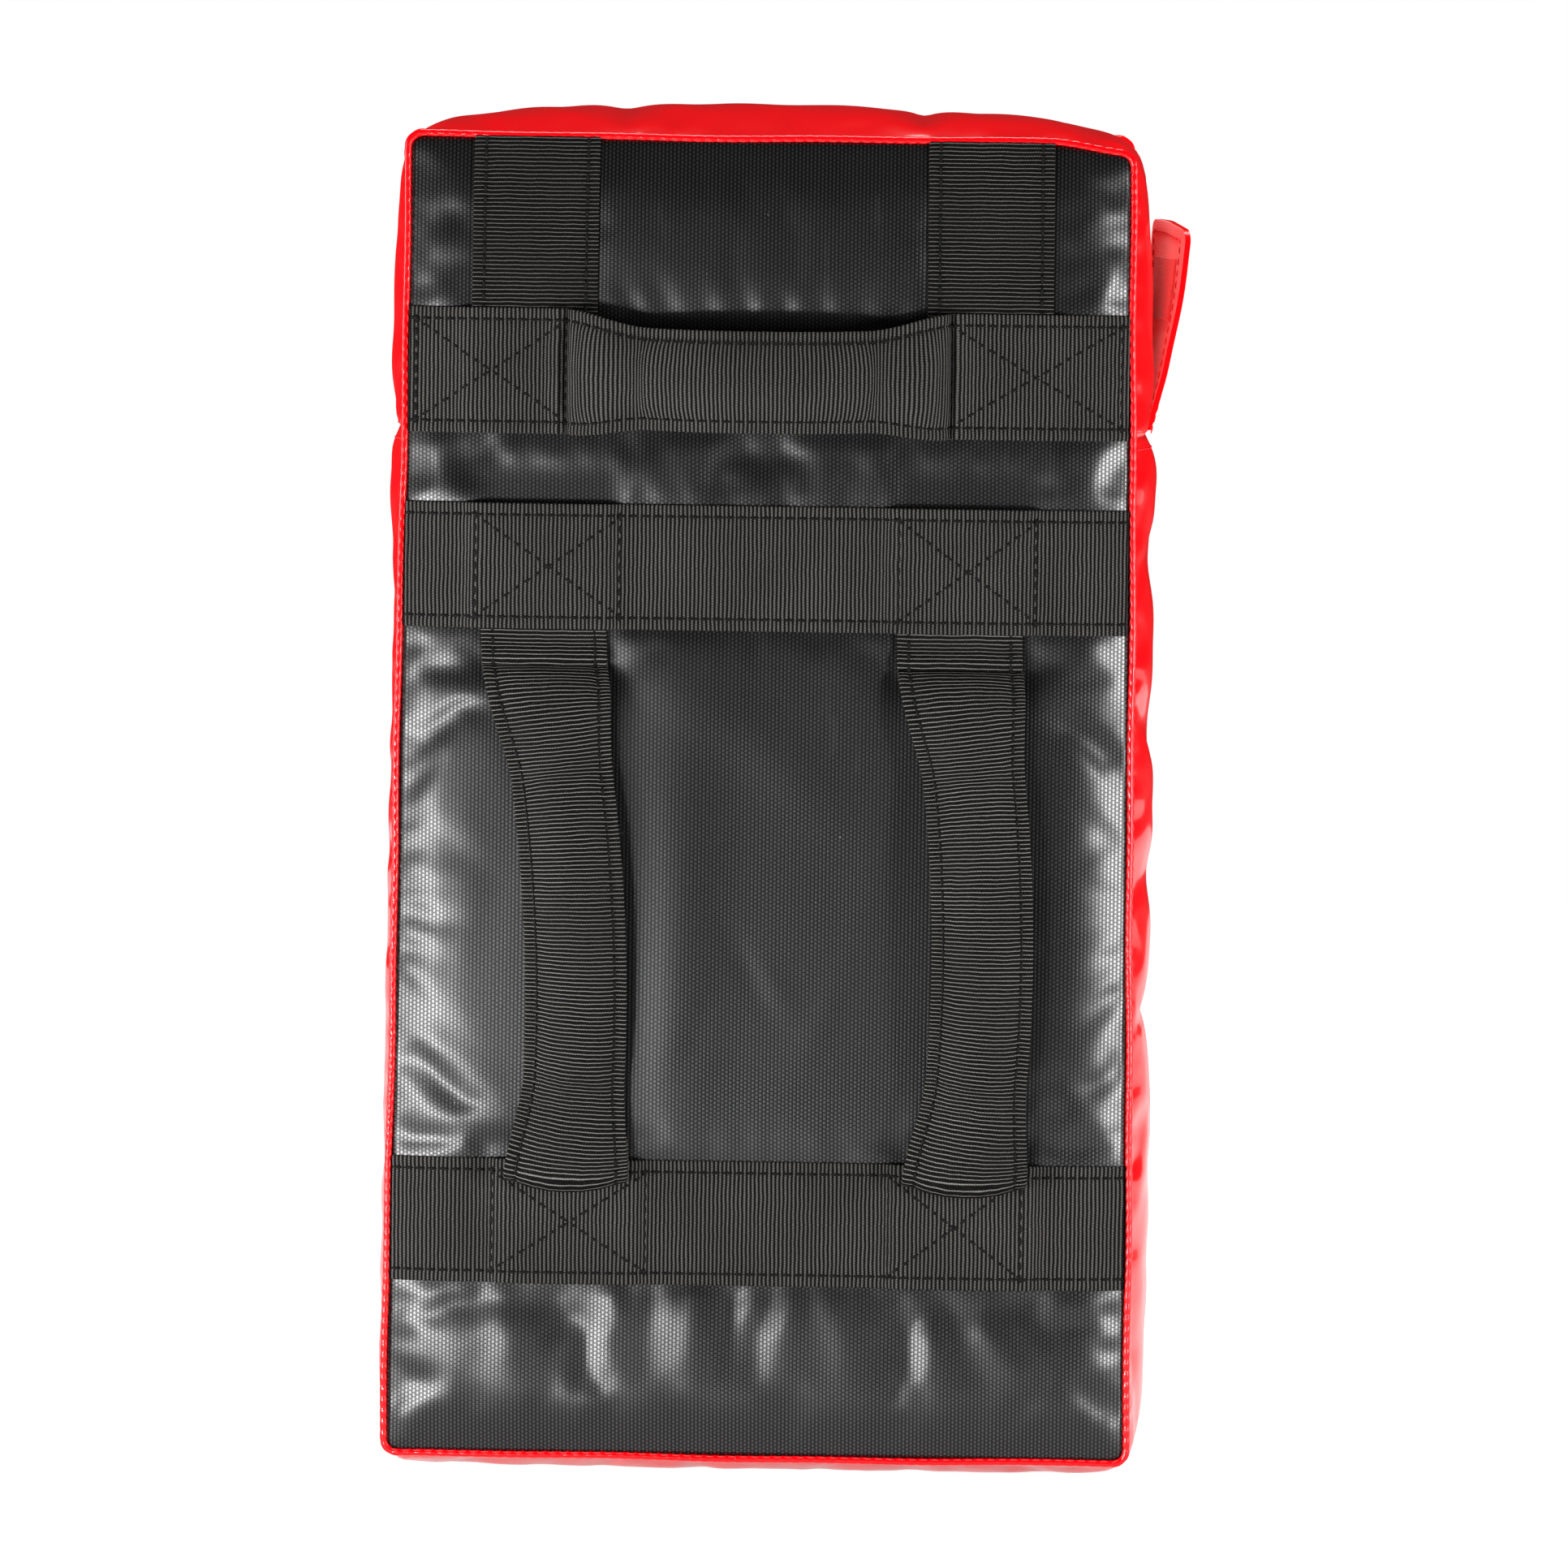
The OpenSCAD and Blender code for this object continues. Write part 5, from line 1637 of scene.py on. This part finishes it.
# %% Handle foam
CORE_FILL, CORE_SINK, CORE_BASE = 0.648, 0.5, 0.7
CORE_SHARES = np.linspace(-0.7, 0.7, 9)
CORE_LEAST = GRIP_CROWN * 0.6
CORE_FOOT, CORE_HEAD, CROSS_CORE_END = 52.0, 44.0, 36.0


def handle_core(node, body, ribbons, axis, start, end):
    """A lens of foam under the crown of the ribbons' rows between two places on an axis."""
    rings = []
    for ribbon in ribbons:
        at = ribbon.path[:, axis]
        for row in np.nonzero((at > start) & (at < end) & (ribbon.crown > CORE_LEAST))[0]:
            top, base = [], []
            for share in CORE_SHARES:
                spot = ribbon.path[row] + ribbon.side[row] * share * ribbon.half[row]
                lens = 1 - (share / CORE_SHARES[-1]) ** 2
                top.append(spot + ribbon.out[row] * (ribbon.crown[row] * CORE_FILL * lens - CORE_SINK))
                base.append(spot - ribbon.out[row] * CORE_BASE)
            rings.append((at[row], top + base[-2:0:-1]))
    rings.sort(key=lambda ring: ring[0])
    grid = np.array([ring for _, ring in rings])
    index = np.arange(grid.shape[0] * grid.shape[1]).reshape(grid.shape[:2])
    faces = gusset_faces(index).tolist()
    faces += [index[0].tolist(), index[-1].tolist()]
    piece = make_piece(node + "_strip", grid.reshape(-1, 3), faces, foam)
    dress(piece, body, "firm_foam", node)


for handle in HANDLES:
    halves = [handle_ribbons[handle + "_lower"], handle_ribbons[handle + "_upper"]]
    handle_core(handle + "_core", handle, halves, 2, FOLD_Z + CORE_FOOT, CREASE_Z - CORE_HEAD)
cross_ends = (CROSS_LEFT + CROSS_CORE_END, CROSS_RIGHT - CROSS_CORE_END)
handle_core("top_handle_core", "top_handle", [upper_left, upper_right], 0, *cross_ends)
print("handle foam: 3 strips")

# %% [markdown]
# ## Sheets on the gusset
# The flap, its tapes and the thread beside the cross seam all lie on the gusset, whose surface is uneven
# after the filling. It is found by casting rays onto the finished gusset. A sheet is two grids of points,
# closed round their rim.

# %% Sheets on the gusset
CAST_FROM = 300.0


def side_surface(piece, side, y, z):
    """Where a ray from one side meets a gusset, for grids of depths and heights."""
    graph = bpy.context.evaluated_depsgraph_get()
    solid = piece.evaluated_get(graph)
    x = np.zeros_like(y)
    for spot in np.ndindex(*y.shape):
        start = Vector((side * CAST_FROM, y[spot], z[spot])) * MM
        hit, place, _, _ = solid.ray_cast(start, Vector((-side, 0, 0)))
        x[spot] = place.x / MM if hit else side * HALF_W
    return x


def closed_sheet(name, outer, inner, material):
    """A closed slab from two grids of points."""
    rows, columns = outer.shape[:2]
    count = rows * columns
    top = np.arange(count).reshape(rows, columns)
    faces = panel_faces(top).tolist() + panel_faces(top + count)[:, ::-1].tolist()
    rim = np.concatenate([top[:-1, 0], top[-1, :-1], top[:0:-1, -1], top[0, :0:-1]])
    for a, b in zip(rim.tolist(), np.roll(rim, -1).tolist()):
        faces.append((a, b, b + count, a + count))
    return make_piece(name, np.concatenate([outer.reshape(-1, 3), inner.reshape(-1, 3)]), faces, material)


print("sheets ready")

# %% [markdown]
# ## Closure flap
# A hemmed vinyl flap is sewn into the cross seam on the right side and closes the opening that the foam
# goes in by. It lies on the gusset when it is shut, and here it stands off, more at its near corner, so it
# is a twisted sheet with the gusset's own swell, evened out. The inner face shows the bare back of the fabric
# inside a turned hem, painted paler as painted light.

# %% Closure flap
FLAP_LOW, FLAP_HIGH = box_mm("closure_flap")
FLAP_H = 84.0
FLAP_T = 1.6
FLAP_R = 5.0
FLAP_NEAR, FLAP_FAR = math.tan(math.radians(11.4)), math.tan(math.radians(6.6))
FLAP_TWIST_POWER = 3.5
FLAP_CURL = 1.2
NEAR_CORNER_DROP = 4.0
HEM_W = 5.5
HEM_T = 0.7
HEM_STEP = 1.0
FLAP_GRID = (40, 52)
GUSSET_CLEAR = 1.4
TAPE_ROOM, TAPE_RISE = 1.4, 14.0
EVEN_ROUNDS = 12


def flap_grid():
    """Points of the flap's middle surface, and how far each lies in from its free edges."""
    middle = (FLAP_LOW[1] + FLAP_HIGH[1]) / 2
    half = (FLAP_HIGH[1] - FLAP_LOW[1]) / 2
    y, h = np.meshgrid(
        np.linspace(-half, half, FLAP_GRID[0]), np.linspace(0, FLAP_H, FLAP_GRID[1]), indexing="ij")
    over_h = np.clip(h - (FLAP_H - FLAP_R), 0, None) / FLAP_R
    over_y = np.clip(np.abs(y) - (half - FLAP_R), 0, None) / FLAP_R
    new_h = np.minimum(h, FLAP_H - FLAP_R) + over_h * np.sqrt(1 - over_y ** 2 / 2) * FLAP_R
    bent_y = np.minimum(np.abs(y), half - FLAP_R) + over_y * np.sqrt(1 - over_h ** 2 / 2) * FLAP_R
    new_y = middle + np.sign(y) * bent_y
    far = (new_y - FLAP_LOW[1]) / (2 * half)
    near = (1 - far) ** FLAP_TWIST_POWER
    lean = FLAP_FAR + (FLAP_NEAR - FLAP_FAR) * near
    seam_y = new_y[:, :1]
    base = side_surface(top_gusset, 1, seam_y, np.full_like(seam_y, FLAP_LOW[2] + FLAP_T)) + GUSSET_CLEAR
    curl = FLAP_CURL * np.sin(math.pi * new_h / FLAP_H) * near
    z = FLAP_LOW[2] + new_h - NEAR_CORNER_DROP * near * new_h / FLAP_H
    room = side_surface(top_gusset, 1, new_y, z) + GUSSET_CLEAR - base
    for _ in range(EVEN_ROUNDS):
        edged = np.pad(room, 1, mode="edge")
        room = (edged[:-2, 1:-1] + edged[2:, 1:-1] + edged[1:-1, :-2] + edged[1:-1, 2:]) / 4
    room = room + TAPE_ROOM * smooth(h / TAPE_RISE)
    edge = np.minimum(half - np.abs(y), FLAP_H - h)
    return np.stack([base + room + new_h * lean + curl, new_y, z], axis=-1), edge


flap_mid, flap_edge = flap_grid()
hem = HEM_T * smooth((HEM_W - flap_edge) / HEM_STEP)
flap_side = np.zeros_like(flap_mid)
flap_side[..., 0] = FLAP_T / 2 + hem / 2
flap = closed_sheet("closure_flap_vinyl", flap_mid + flap_side, flap_mid - flap_side, red_vinyl)
# The inner faces take the backing, whose paleness is partly painted light.
flap.data.materials.append(red_backing)
face_count = (FLAP_GRID[0] - 1) * (FLAP_GRID[1] - 1)
for face in range(face_count, 2 * face_count):
    flap.data.polygons[face].material_index = 1
dress(flap, "flap", "red_vinyl", "closure_flap")
print("flap:", [round(v, 1) for v in flap_mid.reshape(-1, 3).max(axis=0)], "mm at its furthest")

# %% [markdown]
# ## Hook and loop tape
# The two tapes are thin closed sheets: the hook tape follows the flap's inner face and the loop tape
# follows the gusset behind it.

# %% Hook and loop tape
TAPE_T = 0.8
TAPE_GRID = (12, 14)
TAPE_GAP = 0.25


def tape_sheet(node, body, surface):
    """A thin tape on a surface, within its CAD solid's height and depth."""
    low, high = box_mm(node)
    y, z = np.meshgrid(
        np.linspace(low[1], high[1], TAPE_GRID[0]), np.linspace(low[2], high[2], TAPE_GRID[1]), indexing="ij")
    face = np.stack([surface(y, z), y, z], axis=-1)
    thick = np.array([TAPE_T, 0.0, 0.0])
    piece = closed_sheet(node + "_sheet", face + thick, face, tape)
    dress(piece, body, "hook_and_loop", node)


def flap_inside(y, z):
    """The flap's inner face, less the tape's thickness."""
    x = np.zeros_like(y)
    for i in range(y.shape[0]):
        column = int(np.argmin(np.abs(flap_mid[:, 0, 1] - y[i, 0])))
        x[i] = np.interp(z[i], flap_mid[column, :, 2], flap_mid[column, :, 0])
    return x - FLAP_T / 2 - TAPE_T - TAPE_GAP / 2


def flap_seat(y, z):
    """The gusset behind the flap."""
    return side_surface(top_gusset, 1, y, z) + TAPE_GAP


tape_sheet("flap_hook_tape", "flap", flap_inside)
tape_sheet("flap_loop_tape", "shield", flap_seat)
print("tapes: 2")

# %% [markdown]
# ## Stitches
# Every strap is sewn with heavy black thread in stitches a little under 5 mm apart, and the red pieces with
# finer red thread. Geometry Nodes lay them: a tree takes lines, cuts them at the stitch pitch and sets one
# small rounded stitch on each cut. Its inputs are the pitch, the stitch length, the thread's radius and its
# finish.

# %% The stitching tree
STITCH_PITCH = 4.75
STITCH_LENGTH = 4.0
THREAD_R = 0.6
LINE_STEP = 1.5
BEAD = {"Segments": 6, "Rings": 5, "Radius": 0.5}


def stitching_tree():
    """Lines in, sewn stitches out."""
    tree = bpy.data.node_groups.new("sewn_stitches", "GeometryNodeTree")
    kinds = {"Geometry": ["Lines"], "Float": ["Pitch", "Length", "Radius"], "Material": ["Thread"]}
    sizes = {}
    for kind, name in ((kind, name) for kind, names in kinds.items() for name in names):
        socket = tree.interface.new_socket(name, in_out="INPUT", socket_type="NodeSocket" + kind)
        sizes[name] = socket.identifier
    tree.interface.new_socket("Stitches", in_out="OUTPUT", socket_type="NodeSocketGeometry")
    given = tree.nodes.new("NodeGroupInput")
    curve = tree.nodes.new("GeometryNodeMeshToCurve")
    cut = tree.nodes.new("GeometryNodeResampleCurve")
    cut.mode = "LENGTH"
    tangent = tree.nodes.new("GeometryNodeInputTangent")
    turn = tree.nodes.new("FunctionNodeAlignRotationToVector")
    turn.axis = "X"
    bead = tree.nodes.new("GeometryNodeMeshUVSphere")
    for name, value in BEAD.items():
        bead.inputs[name].default_value = value
    wide = tree.nodes.new("ShaderNodeMath")
    wide.operation = "MULTIPLY"
    wide.inputs[1].default_value = 2.0
    size = tree.nodes.new("ShaderNodeCombineXYZ")
    place = tree.nodes.new("GeometryNodeInstanceOnPoints")
    real = tree.nodes.new("GeometryNodeRealizeInstances")
    soft = tree.nodes.new("GeometryNodeSetShadeSmooth")
    paint = tree.nodes.new("GeometryNodeSetMaterial")
    done = tree.nodes.new("NodeGroupOutput")
    wires = (
        (given, "Lines", curve, 0), (curve, 0, cut, "Curve"), (given, "Pitch", cut, "Length"),
        (cut, 0, place, "Points"), (bead, "Mesh", place, "Instance"), (tangent, 0, turn, "Vector"),
        (turn, 0, place, "Rotation"), (given, "Radius", wide, 0), (given, "Length", size, "X"),
        (wide, 0, size, "Y"), (wide, 0, size, "Z"), (size, 0, place, "Scale"), (place, 0, real, 0),
        (real, 0, soft, 0), (soft, 0, paint, 0), (given, "Thread", paint, "Material"), (paint, 0, done, 0),
    )
    for source, output, target, entry in wires:
        tree.links.new(source.outputs[output], target.inputs[entry])
    return tree, sizes


stitch_tree, stitch_sizes = stitching_tree()
print("tree:", stitch_tree.name, "inputs", sorted(stitch_sizes))

# %% [markdown]
# ## Lines of thread
# Lines are drawn on a ribbon by their place along and across, so they follow every hump. One helper sews any
# set of lines with black thread, or with fine red thread.

# %% Lines of thread
SUNK = -0.12
BOX_HALF_H, BOX_INSET = 20.0, 4.0
LINE_INSET = 2.0
FINE_PITCH, FINE_LENGTH, FINE_R = 4.5, 3.4, 0.3


def sew(name, lines, fine=False):
    """Stitches along lines of points, as one plain mesh: black thread, or fine red thread."""
    points, edges = [], []
    for line in lines:
        start = len(points)
        points += [tuple(np.asarray(spot) * MM) for spot in line]
        edges += [(start + k, start + k + 1) for k in range(len(line) - 1)]
    mesh = bpy.data.meshes.new(name)
    mesh.from_pydata(points, edges, [])
    piece = bpy.data.objects.new(name, mesh)
    scene.collection.objects.link(piece)
    modifier = piece.modifiers.new("stitches", "NODES")
    modifier.node_group = stitch_tree
    modifier[stitch_sizes["Pitch"]] = (FINE_PITCH if fine else STITCH_PITCH) * MM
    modifier[stitch_sizes["Length"]] = (FINE_LENGTH if fine else STITCH_LENGTH) * MM
    modifier[stitch_sizes["Radius"]] = (FINE_R if fine else THREAD_R) * MM
    modifier[stitch_sizes["Thread"]] = seam_thread if fine else thread
    graph = bpy.context.evaluated_depsgraph_get()
    sewn = bpy.data.meshes.new_from_object(piece.evaluated_get(graph), depsgraph=graph)
    piece.modifiers.remove(modifier)
    piece.data = sewn
    return piece


def line_on(ribbon, start, end):
    """Points on a ribbon between two (along, across) places."""
    length = math.dist(start, end)
    count = max(2, int(length / LINE_STEP))
    shares = np.linspace(0, 1, count)
    return [ribbon.at(*(np.array(start) * (1 - s) + np.array(end) * s), SUNK) for s in shares]


def edge_lines(ribbon):
    """A line along both edges of a ribbon, a fixed way in from them."""
    lines = []
    for side in (-1, 1):
        spots = []
        for along in np.arange(LINE_INSET, ribbon.along[-1] - LINE_INSET, LINE_STEP):
            half = np.interp(along, ribbon.along, ribbon.half)
            spots.append(ribbon.at(along, side * (half - GROOVE_AT), SUNK))
        lines.append(spots)
    return lines


def place_along(ribbon, x):
    """How far along a cross ribbon lies a sideways place."""
    order = np.argsort(ribbon.path[:, 0])
    return float(np.interp(x, ribbon.path[order, 0], ribbon.along[order]))


def box_lines(ribbon, low_x, high_x):
    """A sewn box with a cross in it."""
    low, high = place_along(ribbon, low_x), place_along(ribbon, high_x)
    top, base = BOX_HALF_H, -BOX_HALF_H
    return [
        line_on(ribbon, (low, base), (low, top)),
        line_on(ribbon, (high, base), (high, top)),
        line_on(ribbon, (low, base), (high, top)),
        line_on(ribbon, (low, top), (high, base)),
    ]


print("stitches:", STITCH_PITCH, "mm apart, fine ones", FINE_PITCH)

# %% [markdown]
# ## Thread on the straps
# Each band has a line along both edges, and a box with a cross where a handle is sewn down. The handles'
# edge lines follow the bends of the handles' halves, so they are made for each half.

# %% Thread on the straps
MIDDLE_BOXES = ((-115.4, -58.4), (53.0, 107.0))
LOWER_BOXES = ((-105.7, -45.1), (52.7, 105.2))
shield_lines = []
for band, boxes in ((middle_band, MIDDLE_BOXES), (lower_band, LOWER_BOXES)):
    shield_lines += edge_lines(band)
    for low_x, high_x in boxes:
        shield_lines += box_lines(band, low_x, high_x)
for strip in (left_strip, right_strip):
    shield_lines += edge_lines(strip)
shield_lines += box_lines(upper_left, -BAND_END + BOX_INSET, CROSS_LEFT)
shield_lines += box_lines(upper_right, CROSS_RIGHT, BAND_END - BOX_INSET)
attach(sew("shield_stitches", shield_lines), "shield")

for handle in HANDLES:
    x = handle_x(handle, HANDLE_MID_Z) * MM
    for part, ends in BLEND_Z.items():
        stitches = sew(handle + "_" + part + "_stitches", edge_lines(handle_ribbons[handle + "_" + part]))
        ends[0] * MM
        ends[1] * MM
        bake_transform(stitches)

cross_halves = (("left", upper_left, CROSS_LEFT, 1), ("right", upper_right, CROSS_RIGHT, -1))
for part, ribbon, lift_x, inward in cross_halves:
    stitches = sew("upper_band_" + part + "_stitches", edge_lines(ribbon))
    far_x = lift_x + inward * CROSS_BLEND
    lift_x * MM
    far_x * MM
    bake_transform(stitches)

print("stitch lines on the shield:", len(shield_lines))

# %% [markdown]
# ## Red thread
# Fine red stitches run along the inner flank of the seam roll, beside both cross seams on the gussets and
# round the flap's hem.

# %% Red thread
SEAM_LINE_TURN = math.radians(128)
CROSS_LINE_GAPS = (-3.4, 3.4)
HEM_LINE_IN = HEM_W - 1.0
CROSS_LINE_INSET = ROLL_R + 2.0


def cross_seam_line(side, gap):
    """A line of thread across a side of the gusset, above or below the cross seam."""
    y = np.arange(BACK_Y + CROSS_LINE_INSET, FRONT_Y - CROSS_LINE_INSET, LINE_STEP)
    z = np.full_like(y, CROSS_SEAM_Z + gap)
    x = side_surface(top_gusset if gap > 0 else bottom_gusset, side, y, z)
    return np.stack([x + side * FINE_R / 2, y, z], axis=-1)


def hem_line(face):
    """A line of thread round the flap's hem, on its outer or inner face."""
    middle = flap_mid + face * (flap_side + [FINE_R / 2, 0, 0])
    columns = np.linspace(0, 1, FLAP_GRID[0]) * (FLAP_HIGH[1] - FLAP_LOW[1])
    rows = np.linspace(0, FLAP_H, FLAP_GRID[1])
    low = int(np.argmin(np.abs(columns - HEM_LINE_IN)))
    high = FLAP_GRID[0] - 1 - low
    top = int(np.argmin(np.abs(rows - FLAP_H + HEM_LINE_IN)))
    return np.concatenate([middle[low, :top], middle[low:high, top], middle[high, top:0:-1]])


red_lines = [
    seam_points(BACK_Y, ROLL_R, SEAM_LINE_TURN),
    seam_points(FRONT_Y, ROLL_R, SEAM_LINE_TURN),
]
red_lines += [cross_seam_line(side, gap) for side in (-1, 1) for gap in CROSS_LINE_GAPS]
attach(sew("seam_stitches", red_lines, fine=True), "shield")
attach(sew("flap_hem_stitches", [hem_line(1), hem_line(-1)], fine=True), "flap")
print("lines of red thread:", len(red_lines) + 2)
